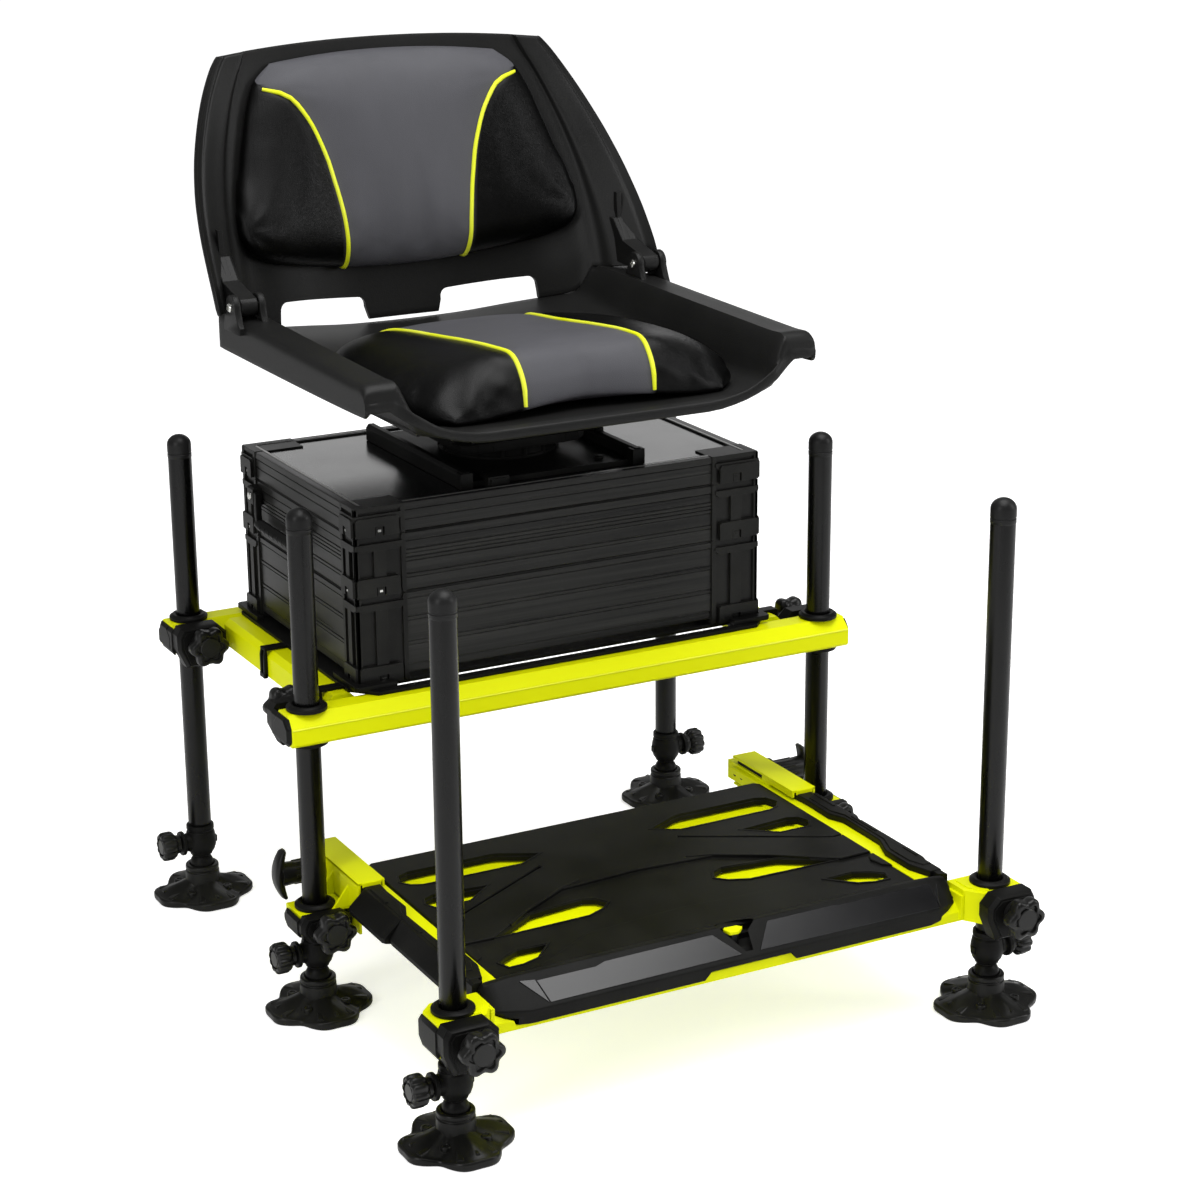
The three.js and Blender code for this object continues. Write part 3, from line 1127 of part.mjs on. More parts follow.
const knobLevel = (SLIDE_RAIL.bottom + SLIDE_RAIL.crestTop) / 2;

// The wing knob that locks a slide rail: stem, washer and a curved bar
function wingKnob() {
  const start = SLIDE_RAIL.outer + RUN_CLEARANCE + SLEEVE.wall + RUN_CLEARANCE;
  const at = [T_KNOB.at, knobLevel];
  const end = start + T_KNOB.reach;
  const stem = rod('x', T_KNOB.stem, at, start, end, STUD_SIDES);
  const tip = rod('x', T_KNOB.tip, at, SLIDE_RAIL.outer + T_KNOB.tipGap, start + OVERRUN, STUD_SIDES);
  const washer = rod('x', T_KNOB.washer, at, start, start + T_KNOB.washerLength, STUD_SIDES);
  const steps = BAR_STEPS;
  const inner = [];
  const outer = [];
  for (let k = 0; k <= steps; k += 1) {
    const share = (2 * k) / steps - 1;
    const z = knobLevel + (share * T_KNOB.bar) / 2;
    const x = end - T_KNOB.thickness / 2 - T_KNOB.bend * share * share;
    const thick = T_KNOB.thickness * (1 - 0.6 * share * share);
    inner.push([x - thick / 2 + T_KNOB.bend, z]);
    outer.unshift([x + thick / 2 + T_KNOB.bend, z]);
  }
  const bar = prism('y', [...outer.reverse(), ...inner.reverse()], T_KNOB.at - T_KNOB.width / 2,
    T_KNOB.at + T_KNOB.width / 2);
  return joined([stem, tip, washer, bar]);
}

function addSleeves() {
  const bracket = geometryOf(sleeveBracket());
  const rail = geometryOf(slideRail());
  const clamp = geometryOf(legClamp(BRACKET.bottom, BRACKET.top, BRACKET.half, BRACKET.endReach,
    { ...CLAMP, ...LOW_CLAMP }));
  const knob = clampKnob(bracketMiddle);
  knob.translate(0, -BRACKET.half - LOW_CLAMP.depth - CLAMP_KNOB.gap, 0);
  const wing = geometryOf(wingKnob());
  for (const [name, side] of [['left', -1], ['right', 1]]) {
    addPart('plate_bracket_' + name, mirrored(bracket, side), LIME);
    addPart('plate_slide_rail_' + name, mirrored(rail, side), BLACK_METAL);
    addPart('bracket_clamp_' + name, mirrored(clamp, side), BLACK_PLASTIC, [side * LEG.sideOffset, 0, 0]);
    addPart('bracket_knob_' + name, mirrored(knob, side), BLACK_PLASTIC, [side * LEG.sideOffset, 0, 0]);
    addPart('slide_lock_knob_' + name, mirrored(wing, side), BLACK_PLASTIC);
  }
}

function addBox() {
  addPart('main_frame', geometryOf(weldedFrame()), LIME);
  addPart('box_tray', geometryOf(boxTray()), BLACK_PLASTIC);
  addPart('base_module', geometryOf(baseModule()), BLACK_METAL);
  addPart('shallow_module', geometryOf(shallowModule()), BLACK_METAL);
  addPart('lid', geometryOf(lid()), BLACK_METAL);
  addPart('carry_handle', mirrored(geometryOf(handle()), -1), BLACK_PLASTIC);
}

function addSeat() {
  addPart('swivel_base', geometryOf(swivelBase()), BLACK_METAL);
  addPart('swivel_turntable', geometryOf(turntable()), BLACK_METAL);
  addPart('seat_pan', geometryOf(panWithEars()), SHELL_PLASTIC);
  addPart('seat_back', geometryOf(seatBack()), SHELL_PLASTIC);
  addPart('seat_cushion', geometryOf(seatCushion()), CUSHION_VINYL);
  addPart('back_cushion', geometryOf(backCushion()), CUSHION_VINYL);
}

addLegs();
addBox();
addSeat();
addPart('plate_frame', geometryOf(plateFrame()), LIME);
addPart('plate_deck', geometryOf(deck()), BLACK_PLASTIC);
addSleeves();

// The origin is on the ground at the middle of the part's bounding box
const part = new THREE.Group();
const bounds = new THREE.Box3().setFromObject(assembly);
const centre = bounds.getCenter(new THREE.Vector3());
assembly.position.set(-centre.x, -centre.y, -bounds.min.z);
part.add(assembly);
part.updateMatrixWorld(true);

export default part;
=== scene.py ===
"""Fishing seat box: the finished look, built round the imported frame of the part."""
import bpy
import bmesh
import math
import numpy as np
from mathutils import Matrix, Vector
from mathutils.geometry import tessellate_polygon


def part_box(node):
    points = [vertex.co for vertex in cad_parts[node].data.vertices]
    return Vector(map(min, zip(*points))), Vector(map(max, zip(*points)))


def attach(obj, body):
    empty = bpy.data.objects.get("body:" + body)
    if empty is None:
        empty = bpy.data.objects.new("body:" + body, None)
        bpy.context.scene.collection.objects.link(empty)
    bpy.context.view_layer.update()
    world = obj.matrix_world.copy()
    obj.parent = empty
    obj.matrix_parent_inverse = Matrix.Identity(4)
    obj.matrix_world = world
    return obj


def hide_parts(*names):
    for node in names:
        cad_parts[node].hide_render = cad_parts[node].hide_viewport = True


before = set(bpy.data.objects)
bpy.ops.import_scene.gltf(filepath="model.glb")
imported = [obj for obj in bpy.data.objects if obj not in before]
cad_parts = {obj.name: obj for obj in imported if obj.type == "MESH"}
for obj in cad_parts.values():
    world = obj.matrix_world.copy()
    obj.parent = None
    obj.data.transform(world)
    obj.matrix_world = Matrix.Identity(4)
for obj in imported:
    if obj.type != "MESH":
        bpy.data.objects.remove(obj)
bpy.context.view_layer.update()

MM = 0.001
# Pieces are drawn in millimetres from the front legs' axes: the row frame lies a little behind them
AXIS_Y = sum(corner[1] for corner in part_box("leg_front_left")) / 2


def in_row(point):
    """A point in millimetres from the front legs' axes, as metres in the row frame."""
    return (point[0] * MM, point[1] * MM + AXIS_Y, point[2] * MM)


# Forms
class Form:
    """Closed shells in millimetres, gathered into one piece."""

    def __init__(self):
        self.points = []
        self.faces = []
        self.coats = []

    def shell(self, points, faces, coat=0):
        start = len(self.points)
        self.points.extend(tuple(float(value) for value in point) for point in points)
        self.faces.extend(tuple(start + k for k in face) for face in faces)
        self.coats.extend([coat] * len(faces))
        return self

    def placed(self, offset=(0, 0, 0), mirror=(1, 1, 1)):
        copy = Form()
        copy.points = [tuple(p * m + o for p, m, o in zip(point, mirror, offset)) for point in self.points]
        copy.faces = list(self.faces)
        copy.coats = list(self.coats)
        return copy

    def join(self, other):
        start = len(self.points)
        self.points.extend(other.points)
        self.faces.extend(tuple(start + k for k in face) for face in other.faces)
        self.coats.extend(other.coats)


# Which coordinates an outline's two values and its level are, for a bar along each axis
OUTLINE_AXES = {"x": (1, 2, 0), "y": (0, 2, 1), "z": (0, 1, 2)}


def mix(a, b, share):
    return a + (b - a) * share


def bounded(value):
    return min(1.0, max(0.0, value))


def smooth(share):
    return share * share * (3 - 2 * share)


def turns(count):
    """Even turns round a circle, in radians."""
    return [2 * math.pi * k / count for k in range(count)]


def polar(radius, turn, centre=(0, 0)):
    """The point at a radius and a turn about a centre."""
    return centre[0] + radius * math.cos(turn), centre[1] + radius * math.sin(turn)


def span(side, near, far):
    """A stretch on one side of the middle, low end first."""
    return sorted((side * near, side * far))


def rectangle(x, y):
    return [(x[0], y[0]), (x[1], y[0]), (x[1], y[1]), (x[0], y[1])]


def rounded(x, y, radius, steps=4):
    """A rectangle's outline with round corners."""
    corners = ((x[1] - radius, y[1] - radius, 0), (x[0] + radius, y[1] - radius, 1),
               (x[0] + radius, y[0] + radius, 2), (x[1] - radius, y[0] + radius, 3))
    return [polar(radius, (quarter + k / steps) * math.pi / 2, (cx, cy))
            for cx, cy, quarter in corners for k in range(steps + 1)]


def spread(axis, u, v, along):
    a, b, c = OUTLINE_AXES[axis]
    point = [0, 0, 0]
    point[a], point[b], point[c] = u, v, along
    return point


def loft(form, rings, coat=0):
    """A closed shell through rings of equally many points."""
    count = len(rings[0])
    points = [point for ring in rings for point in ring]
    faces = [tuple(range(count)), tuple(range(len(points) - count, len(points)))]
    for level in range(len(rings) - 1):
        for k in range(count):
            a = level * count + k
            b = level * count + (k + 1) % count
            faces.append((a, b, b + count, a + count))
    return form.shell(points, faces, coat)


def prism(form, axis, outline, start, end, coat=0):
    """A straight bar: the outline is (y, z) along x, (x, z) along y and (x, y) along z."""
    rings = [[spread(axis, u, v, level) for u, v in outline] for level in (start, end)]
    return loft(form, rings, coat)


def slab(form, x, y, z, coat=0):
    """A square-cornered block between two values on each axis."""
    return prism(form, "z", rectangle(x, y), z[0], z[1], coat)


def tapered(form, axis, outlines, levels, coat=0):
    """A bar whose outline changes from level to level."""
    rings = [[spread(axis, u, v, level) for u, v in outline] for outline, level in zip(outlines, levels)]
    return loft(form, rings, coat)


def eased_bar(form, axis, slim, outline, start, end, ease):
    """A bar that swells from a slim end to its full outline and back."""
    tapered(form, axis, [slim, outline, outline, slim], [start, start + ease, end - ease, end])


def turned(form, axis, profile, at=(0, 0), sides=48, coat=0, lobe=None, is_ring=False):
    """A turned shell from (radius, along) pairs; lobe gives the share of the radius at each turn.

    A ring's last pair joins its first one, so that it stays open in the middle."""
    points = []
    faces = []
    rings = []
    for radius, along in profile:
        if radius <= 0:
            rings.append([len(points)])
            points.append(spread(axis, at[0], at[1], along))
            continue
        rings.append(list(range(len(points), len(points) + sides)))
        for turn in turns(sides):
            reach = radius * (lobe(turn, radius) if lobe else 1)
            points.append(spread(axis, *polar(reach, turn, at), along))
    for low, high in zip(rings, rings[1:] + rings[:1] * is_ring):
        for k in range(sides):
            n = (k + 1) % sides
            if len(low) == 1 and len(high) > 1:
                faces.append((low[0], high[n], high[k]))
            elif len(high) == 1 and len(low) > 1:
                faces.append((low[k], low[n], high[0]))
            elif len(low) > 1:
                faces.append((low[k], low[n], high[n], high[k]))
    if not is_ring:
        faces += [tuple(end) for end in (rings[0], rings[-1]) if len(end) > 1]
    return form.shell(points, faces, coat)


def rod(form, axis, radius, start, end, at, sides):
    turned(form, axis, [(0, start), (radius, start), (radius, end), (0, end)], at, sides)


def pipe(form, path, radius, sides):
    """A round cord along a path, with closed ends; the radius may change along it."""
    path = [Vector(point) for point in path]
    radii = radius if isinstance(radius, (list, tuple)) else [radius] * len(path)
    normal = None
    rings = []
    for k, point in enumerate(path):
        tangent = (path[min(k + 1, len(path) - 1)] - path[max(k - 1, 0)]).normalized()
        if normal is None:
            normal = tangent.orthogonal().normalized()
        normal = (normal - tangent * normal.dot(tangent)).normalized()
        side = tangent.cross(normal)
        rings.append([point + (normal * math.cos(t) + side * math.sin(t)) * radii[k] for t in turns(sides)])
    return loft(form, rings)


def facing_grids(upper, lower):
    """The points of two facing grids, each rows x columns x 3, and the faces inside each."""
    rows, columns = upper.shape[:2]
    count = rows * columns
    faces = []
    for j in range(rows - 1):
        for i in range(columns - 1):
            a = j * columns + i
            faces.append((a, a + 1, a + 1 + columns, a + columns))
            faces.append((count + a, count + a + columns, count + a + 1 + columns, count + a + 1))
    return np.concatenate([upper.reshape(-1, 3), lower.reshape(-1, 3)]).tolist(), faces


def skin(form, upper, lower):
    """A closed shell between two facing grids."""
    rows, columns = upper.shape[:2]
    count = rows * columns
    points, faces = facing_grids(upper, lower)
    last = (rows - 1) * columns
    for i in range(columns - 1):
        faces.append((count + i, count + i + 1, i + 1, i))
        faces.append((last + i, last + i + 1, count + last + i + 1, count + last + i))
    for j in range(rows - 1):
        a = j * columns
        b = a + columns - 1
        faces.append((a, a + columns, count + a + columns, count + a))
        faces.append((b + columns, b, count + b, count + b + columns))
    return form.shell(points, faces)


def monotone(values, fine):
    """A smooth curve through evenly counted values that never overshoots them, at fine positions."""
    values = np.asarray(values, float)
    slope = np.diff(values, axis=0)
    tangent = np.zeros_like(values)
    product = slope[:-1] * slope[1:]
    safe = np.where(np.abs(slope[:-1] + slope[1:]) < 1e-9, 1.0, slope[:-1] + slope[1:])
    tangent[1:-1] = np.where(product > 0, 2 * product / safe, 0)
    tangent[0], tangent[-1] = slope[0], slope[-1]
    base = np.clip(np.floor(fine).astype(int), 0, len(values) - 2)
    t = (fine - base).reshape((-1,) + (1,) * (values.ndim - 1))
    a, b = values[base], values[base + 1]
    ta, tb = tangent[base], tangent[base + 1]
    return ((2 * t ** 3 - 3 * t ** 2 + 1) * a + (t ** 3 - 2 * t ** 2 + t) * ta
            + (3 * t ** 2 - 2 * t ** 3) * b + (t ** 3 - t ** 2) * tb)


def refined(grid, across, along):
    """A grid of points with smooth rows and columns put between its own."""
    rows, columns = grid.shape[:2]
    fine_rows = np.linspace(0, rows - 1, (rows - 1) * along + 1)
    fine_columns = np.linspace(0, columns - 1, (columns - 1) * across + 1)
    taller = monotone(grid, fine_rows)
    return monotone(taller.transpose(1, 0, 2), fine_columns).transpose(1, 0, 2)


def applied(made):
    """Fixes the modifiers' result in the mesh."""
    shape = bpy.data.meshes.new_from_object(made.evaluated_get(bpy.context.evaluated_depsgraph_get()))
    made.modifiers.clear()
    made.data = shape
    return made


def modifier(made, kind, **values):
    added = made.modifiers.new(kind.lower(), kind)
    for key, value in values.items():
        setattr(added, key, value)
    return added


def mesh_of(name, form):
    shape = bpy.data.meshes.new(name)
    shape.from_pydata([in_row(point) for point in form.points], [], form.faces)
    shape.polygons.foreach_set("material_index", form.coats)
    made = bpy.data.objects.new(name, shape)
    bpy.context.scene.collection.objects.link(made)
    work = bmesh.new()
    work.from_mesh(shape)
    bmesh.ops.recalc_face_normals(work, faces=work.faces)
    work.to_mesh(shape)
    work.free()
    return made


def piece(name, form, finishes, body, replaces, *, bevel, steps=2, cuts=None, sharp=34):
    """Makes one piece of the object from its form, rides it on its body and dresses it."""
    made = mesh_of(name, form)
    for finish_made in finishes:
        made.data.materials.append(finish_made)
    if cuts is not None:
        cutter = mesh_of(name + "_cutter", cuts)
        modifier(made, "BOOLEAN", operation="DIFFERENCE", solver="EXACT", use_self=True, object=cutter)
        applied(made)
        bpy.data.objects.remove(cutter)
    if bevel:
        modifier(made, "BEVEL", width=bevel * MM, segments=steps, limit_method="ANGLE",
                 angle_limit=math.radians(28), harden_normals=False)
    applied(made)
    made.data.shade_smooth()
    made.data.set_sharp_from_angle(angle=math.radians(sharp))
    if bevel:
        modifier(made, "WEIGHTED_NORMAL", keep_sharp=True, weight=60)
        applied(made)
    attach(made, body)
    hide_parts(*replaces)
    return made


# Finishes
class Wires:
    """Short ways to add and join the nodes of one tree."""

    def __init__(self, tree):
        self.tree = tree

    def add(self, kind, settings=None, feeds=None):
        node = self.tree.nodes.new("ShaderNode" + kind if not kind.startswith("NodeGroup") else kind)
        for key, value in (settings or {}).items():
            setattr(node, key, value)
        for key, value in (feeds or {}).items():
            self.feed(node.inputs[key], value)
        return node

    def feed(self, socket, value):
        if isinstance(value, bpy.types.NodeSocket):
            self.tree.links.new(value, socket)
        else:
            socket.default_value = value

    def math(self, operation, a, b, clamp=False):
        return self.add("Math", {"operation": operation, "use_clamp": clamp}, {0: a, 1: b}).outputs[0]

    def times(self, a, b, clamp=False):
        return self.math("MULTIPLY", a, b, clamp)

    def plus(self, a, b, clamp=False):
        return self.math("ADD", a, b, clamp)

    def scaled(self, vector, factors):
        return self.add("VectorMath", {"operation": "MULTIPLY"}, {0: vector, 1: factors}).outputs[0]

    def noise(self, vector, scale, detail, roughness=0.5):
        feeds = {"Vector": vector, "Scale": scale, "Detail": detail, "Roughness": roughness}
        return self.add("TexNoise", None, feeds).outputs["Fac"]

    def ramp(self, value, low, high, to_low=0.0, to_high=1.0):
        feeds = {"Value": value, "From Min": low, "From Max": high, "To Min": to_low, "To Max": to_high}
        return self.add("MapRange", {"clamp": True}, feeds).outputs["Result"]

    def blend(self, share, a, b):
        node = self.add("Mix", {"data_type": "RGBA", "blend_type": "MIX"})
        self.feed(node.inputs["Factor"], share)
        self.feed(node.inputs[6], a)
        self.feed(node.inputs[7], b)
        return node.outputs[2]


def new_group(name, inputs, outputs):
    """A shader group: inputs are (label, start value), outputs are labels of values.

    Returns its wires, its input and output sockets, and the place on the object."""
    tree = bpy.data.node_groups.new(name, "ShaderNodeTree")
    for label, value in inputs:
        made = tree.interface.new_socket(label, in_out="INPUT", socket_type="NodeSocketFloat")
        made.default_value = value
    for label in outputs:
        tree.interface.new_socket(label, in_out="OUTPUT", socket_type="NodeSocketFloat")
    wires = Wires(tree)
    given, out = wires.add("NodeGroupInput").outputs, wires.add("NodeGroupOutput").inputs
    return wires, given, out, wires.add("TexCoord").outputs["Object"]


def texture_group(name, fineness_label, fineness):
    """The start of a texture: its fineness and unevenness in, bump height and tone out."""
    return new_group(name, [(fineness_label, fineness), ("Unevenness", 0.5)], ["Height", "Tone"])


def pebble_group():
    """Fine moulded grain: small smooth pebbles with a softer cloud over them."""
    wires, given, out, place = texture_group("moulded pebbles", "Cells", 900.0)
    cells = wires.add("TexVoronoi", {"feature": "SMOOTH_F1"}, {"Vector": place, "Scale": given["Cells"]})
    fine = wires.noise(place, wires.times(given["Cells"], 2.6), 2.0)
    cloud = wires.noise(place, 14.0, 4.0)
    wires.feed(out["Height"], wires.plus(cells.outputs["Distance"], wires.times(fine, 0.5)))
    mild = wires.times(wires.math("SUBTRACT", cloud, 0.5), given["Unevenness"])
    wires.feed(out["Tone"], wires.plus(mild, wires.times(fine, 0.35), True))
    return wires.tree


def extrusion_group():
    """Die lines that run level round the aluminium panels."""
    wires, given, out, place = texture_group("extrusion lines", "Lines", 900.0)
    spread_out = wires.add("CombineXYZ", None, {0: 5.0, 1: 5.0, 2: given["Lines"]})
    fine = wires.noise(wires.scaled(place, spread_out.outputs[0]), 1.0, 3.0, 0.7)
    broad = wires.noise(wires.scaled(place, (2.0, 2.0, 110.0)), 1.0, 3.0, 0.6)
    wires.feed(out["Height"], fine)
    both = wires.plus(wires.times(fine, 0.4), wires.times(broad, 0.8))
    centred = wires.math("SUBTRACT", both, 0.5)
    wires.feed(out["Tone"], wires.plus(0.1, wires.times(centred, given["Unevenness"]), True))
    return wires.tree


def drawn_group():
    """Faint draw lines along an upright tube, under a satin anodised coat."""
    wires, given, out, place = texture_group("drawn tube", "Lines", 1400.0)
    across = wires.add("CombineXYZ", None, {0: given["Lines"], 1: given["Lines"], 2: 6.0})
    fine = wires.noise(wires.scaled(place, across.outputs[0]), 1.0, 2.0)
    rubbed = wires.noise(wires.scaled(place, (30.0, 30.0, 9.0)), 1.0, 4.0, 0.6)
    wires.feed(out["Height"], wires.plus(wires.times(fine, 0.4), wires.times(rubbed, 0.3)))
    wires.feed(out["Tone"], wires.times(wires.ramp(rubbed, 0.45, 0.75), given["Unevenness"]))
    return wires.tree


def coat_group():
    """Powder coat: a fine orange peel that dulls a little in patches."""
    wires, given, out, place = texture_group("powder coat", "Cells", 450.0)
    peel = wires.noise(place, given["Cells"], 2.0, 0.45)
    cloud = wires.noise(place, 7.0, 5.0, 0.6)
    wires.feed(out["Height"], peel)
    wires.feed(out["Tone"], wires.times(wires.ramp(cloud, 0.35, 0.75), given["Unevenness"]))
    return wires.tree


def vinyl_group():
    """Soft vinyl: leather cells pulled by slow creases."""
    wires, given, out, place = texture_group("vinyl skin", "Cells", 620.0)
    pull = wires.add("TexNoise", None, {"Vector": place, "Scale": 60.0, "Detail": 2.0}).outputs["Color"]
    bent = wires.add("VectorMath", {"operation": "MULTIPLY_ADD"},
                     {0: pull, 1: (0.004,) * 3, 2: place}).outputs[0]
    cells = wires.add("TexVoronoi", {"feature": "DISTANCE_TO_EDGE"},
                      {"Vector": bent, "Scale": given["Cells"]})
    valley = wires.ramp(cells.outputs["Distance"], 0.0, 0.22)
    crease = wires.noise(wires.scaled(place, (24.0, 24.0, 13.0)), 1.0, 4.0, 0.55)
    wires.feed(out["Height"], wires.plus(wires.times(valley, 0.5), crease))
    wires.feed(out["Tone"], wires.times(wires.ramp(crease, 0.3, 0.8), given["Unevenness"]))
    return wires.tree


def wear_group():
    """How much an edge is rubbed: high on outer edges, broken up by noise."""
    wires, given, out, place = new_group("edge wear", [("Width", 0.0012), ("Amount", 0.5)], ["Mask"])
    round_normal = wires.add("Bevel", {"samples": 4}, {"Radius": given["Width"]}).outputs[0]
    true_normal = wires.add("NewGeometry").outputs["Normal"]
    likeness = wires.add("VectorMath", {"operation": "DOT_PRODUCT"},
                         {0: round_normal, 1: true_normal}).outputs["Value"]
    edge = wires.ramp(likeness, 0.99, 0.85)
    broken = wires.ramp(wires.noise(place, 55.0, 5.0, 0.65), 0.42, 0.68)
    wires.feed(out["Mask"], wires.times(wires.times(edge, broken), given["Amount"], True))
    return wires.tree


def dust_group():
    """Fine dust that settles on faces that look up."""
    wires, given, out, place = new_group("settled dust", [("Amount", 0.2), ("Patches", 30.0)], ["Mask"])
    normal = wires.add("NewGeometry").outputs["Normal"]
    upward = wires.ramp(wires.add("SeparateXYZ", None, {0: normal}).outputs[2], 0.45, 1.0)
    patches = wires.ramp(wires.noise(place, given["Patches"], 6.0, 0.7), 0.35, 0.85)
    specks = wires.ramp(wires.noise(place, 1900.0, 1.0), 0.62, 0.8)
    cover = wires.plus(wires.times(patches, 0.6), wires.times(specks, 0.4))
    wires.feed(out["Mask"], wires.times(wires.times(upward, cover), given["Amount"], True))
    return wires.tree


PEBBLES = pebble_group()
EXTRUSION = extrusion_group()
DRAWN = drawn_group()
COAT = coat_group()
VINYL = vinyl_group()
WEAR = wear_group()
DUST = dust_group()
DUST_COLOUR = (0.34, 0.33, 0.31, 1)


def linear(red, green, blue):
    """A colour given as the eye sees it, 0 to 255, for the shader."""
    return tuple((value / 255) ** 2.2 for value in (red, green, blue)) + (1.0,)


def grey(level):
    return linear(level, level, level)


def finish(name, colour, rub, roughness, texture, fineness, relief, metallic=0.0, wear=0.4, dust=0.15,
           unevenness=0.6, specular=0.1, second=None):
    """A material: its colour is rubbed lighter at edges, and its texture group sets bump and gloss.

    second is (vertex attribute, colour, roughness) for another panel on the same piece."""
    made = bpy.data.materials.new(name)
    made.use_nodes = True
    wires = Wires(made.node_tree)
    made.node_tree.nodes.clear()
    skin_node = wires.add("Group", {"node_tree": texture})
    skin_node.inputs[0].default_value = fineness
    skin_node.inputs["Unevenness"].default_value = unevenness
    height, tone = skin_node.outputs["Height"], skin_node.outputs["Tone"]
    base = colour
    gloss = roughness
    if second:
        label, other, other_roughness = second
        panel = wires.add("Attribute", {"attribute_name": label}).outputs["Fac"]
        panel = wires.ramp(panel, -0.4, 0.4)
        base = wires.blend(panel, colour, other)
        gloss = wires.ramp(panel, 0.0, 1.0, roughness, other_roughness)
    lighter = wires.blend(tone, base, rub)
    worn = wires.add("Group", {"node_tree": WEAR})
    worn.inputs["Amount"].default_value = wear
    edged = wires.blend(worn.outputs["Mask"], lighter, rub)
    settled = wires.add("Group", {"node_tree": DUST})
    settled.inputs["Amount"].default_value = dust
    final = wires.blend(settled.outputs["Mask"], edged, DUST_COLOUR)
    softened = wires.plus(gloss, wires.times(tone, 0.25))
    dulled = wires.plus(softened, wires.times(settled.outputs["Mask"], 0.5), True)
    bump = wires.add("Bump", None, {"Strength": 1.0, "Distance": relief * MM, "Height": height})
    looks = {"Base Color": final, "Roughness": dulled, "Metallic": metallic, "Normal": bump.outputs[0],
             "Specular IOR Level": specular}
    shader = wires.add("BsdfPrincipled", None, looks)
    end = wires.add("OutputMaterial")
    wires.feed(end.inputs["Surface"], shader.outputs[0])
    return made


LIME = finish("lime powder coat", linear(227, 233, 0), linear(236, 240, 30), 0.4, COAT, 520.0, 0.05,
              wear=0.25, dust=0.0, unevenness=0.15, specular=0.08)
# A paler, glossier lime: a painted highlight along the front rail's upper front edge
LIME_PAINTED_HIGHLIGHT = finish("lime edge painted highlight", linear(232, 238, 40), linear(240, 244, 60), 0.24, COAT, 520.0, 0.02,
                   wear=0.25, dust=0.0, unevenness=0.1, specular=0.6)
TUBE_BLACK = finish("black anodised tube", grey(11), linear(54, 54, 52), 0.27, DRAWN, 1500.0, 0.04,
                    wear=0.4, dust=0.0, unevenness=0.1, specular=0.28)
CAP_BLACK = finish("soft black cap", grey(17), grey(56), 0.34, PEBBLES, 1500.0, 0.03, dust=0.02,
                   specular=0.2)
MOULDED = finish("black moulded plastic", grey(11), linear(52, 52, 50), 0.36, PEBBLES, 1100.0, 0.05,
                 dust=0.01)
KNOB_BLACK = finish("black knob plastic", grey(10), linear(60, 60, 58), 0.27, PEBBLES, 1600.0, 0.03,
                    dust=0.01, specular=0.3)
FOOT_BLACK = finish("black foot plastic", grey(10), linear(56, 56, 52), 0.28, PEBBLES, 1000.0, 0.05,
                    dust=0.01, specular=0.22)
DECK_BLACK = finish("black deck moulding", linear(13, 13, 12), linear(50, 50, 48), 0.4, PEBBLES, 850.0,
                    0.07, dust=0.02, specular=0.1)
GRIP_GREY = finish("glossy grip panel", linear(15, 15, 16), linear(90, 90, 92), 0.2, COAT, 700.0, 0.03,
                   dust=0.0, unevenness=0.1, specular=0.5)
PANEL_BLACK = finish("ribbed black extrusion", grey(11), linear(74, 74, 72), 0.26, EXTRUSION, 1100.0, 0.06,
                     wear=0.45, dust=0.0, unevenness=1.0, specular=0.2)
CORNER_BLACK = finish("corner moulding", grey(10), linear(66, 66, 63), 0.32, PEBBLES, 1300.0, 0.04,
                      wear=0.45, dust=0.01, specular=0.16)
LID_BLACK = finish("satin lid panel", grey(20), grey(50), 0.2, COAT, 800.0, 0.02, dust=0.01,
                   unevenness=0.15, specular=0.6)
TRIM_BRIGHT = finish("bright aluminium trim", linear(150, 150, 148), linear(215, 215, 212), 0.3, EXTRUSION,
                     1300.0, 0.03, metallic=0.9, dust=0.0, specular=0.5)
STEEL = finish("bright steel", linear(205, 205, 200), linear(240, 240, 236), 0.18, DRAWN, 900.0, 0.02,
               metallic=1.0, dust=0.0, specular=0.5)
SWIVEL_BLACK = finish("black swivel casting", grey(11), linear(48, 48, 46), 0.36, COAT, 600.0, 0.06,
                      dust=0.03)
SHELL_GREY = finish("charcoal seat shell", grey(18), linear(54, 54, 53), 0.4, PEBBLES, 720.0, 0.09,
                    wear=0.4, dust=0.01, unevenness=0.2, specular=0.2)
VINYL_TWO_TONE = finish("black and grey vinyl", grey(6), grey(30), 0.29, VINYL, 700.0, 0.16, wear=0.0,
                        dust=0.0, unevenness=0.12, specular=0.18,
                        second=("grey_panel", linear(80, 80, 84), 0.5))
PIPING_LIME = finish("lime piping", linear(222, 230, 10), linear(240, 244, 110), 0.38, VINYL, 1500.0, 0.03,
                     wear=0.0, dust=0.0)

# Legs and feet
LEG_X = 297
TUBE, TUBE_BORE = 12.5, 12.75
RAIL_BOTTOM, RAIL_TOP, RAIL_HALF = 292, 323, 23
PLATE_RAIL_BOTTOM, PLATE_RAIL_TOP, PLATE_RAIL_HALF = 102, 135, 22
FOOT_LOCK_Z = 64
PLATE_Y = -324
REAR_Y = 332
LEGS = {
    "front_left": (-1, 0, 528, 1), "front_right": (1, 0, 528, 1),
    "rear_left": (-1, REAR_Y, 528, -1), "rear_right": (1, REAR_Y, 528, -1),
    "plate_left": (-1, PLATE_Y, 534, -1), "plate_right": (1, PLATE_Y, 534, -1),
}


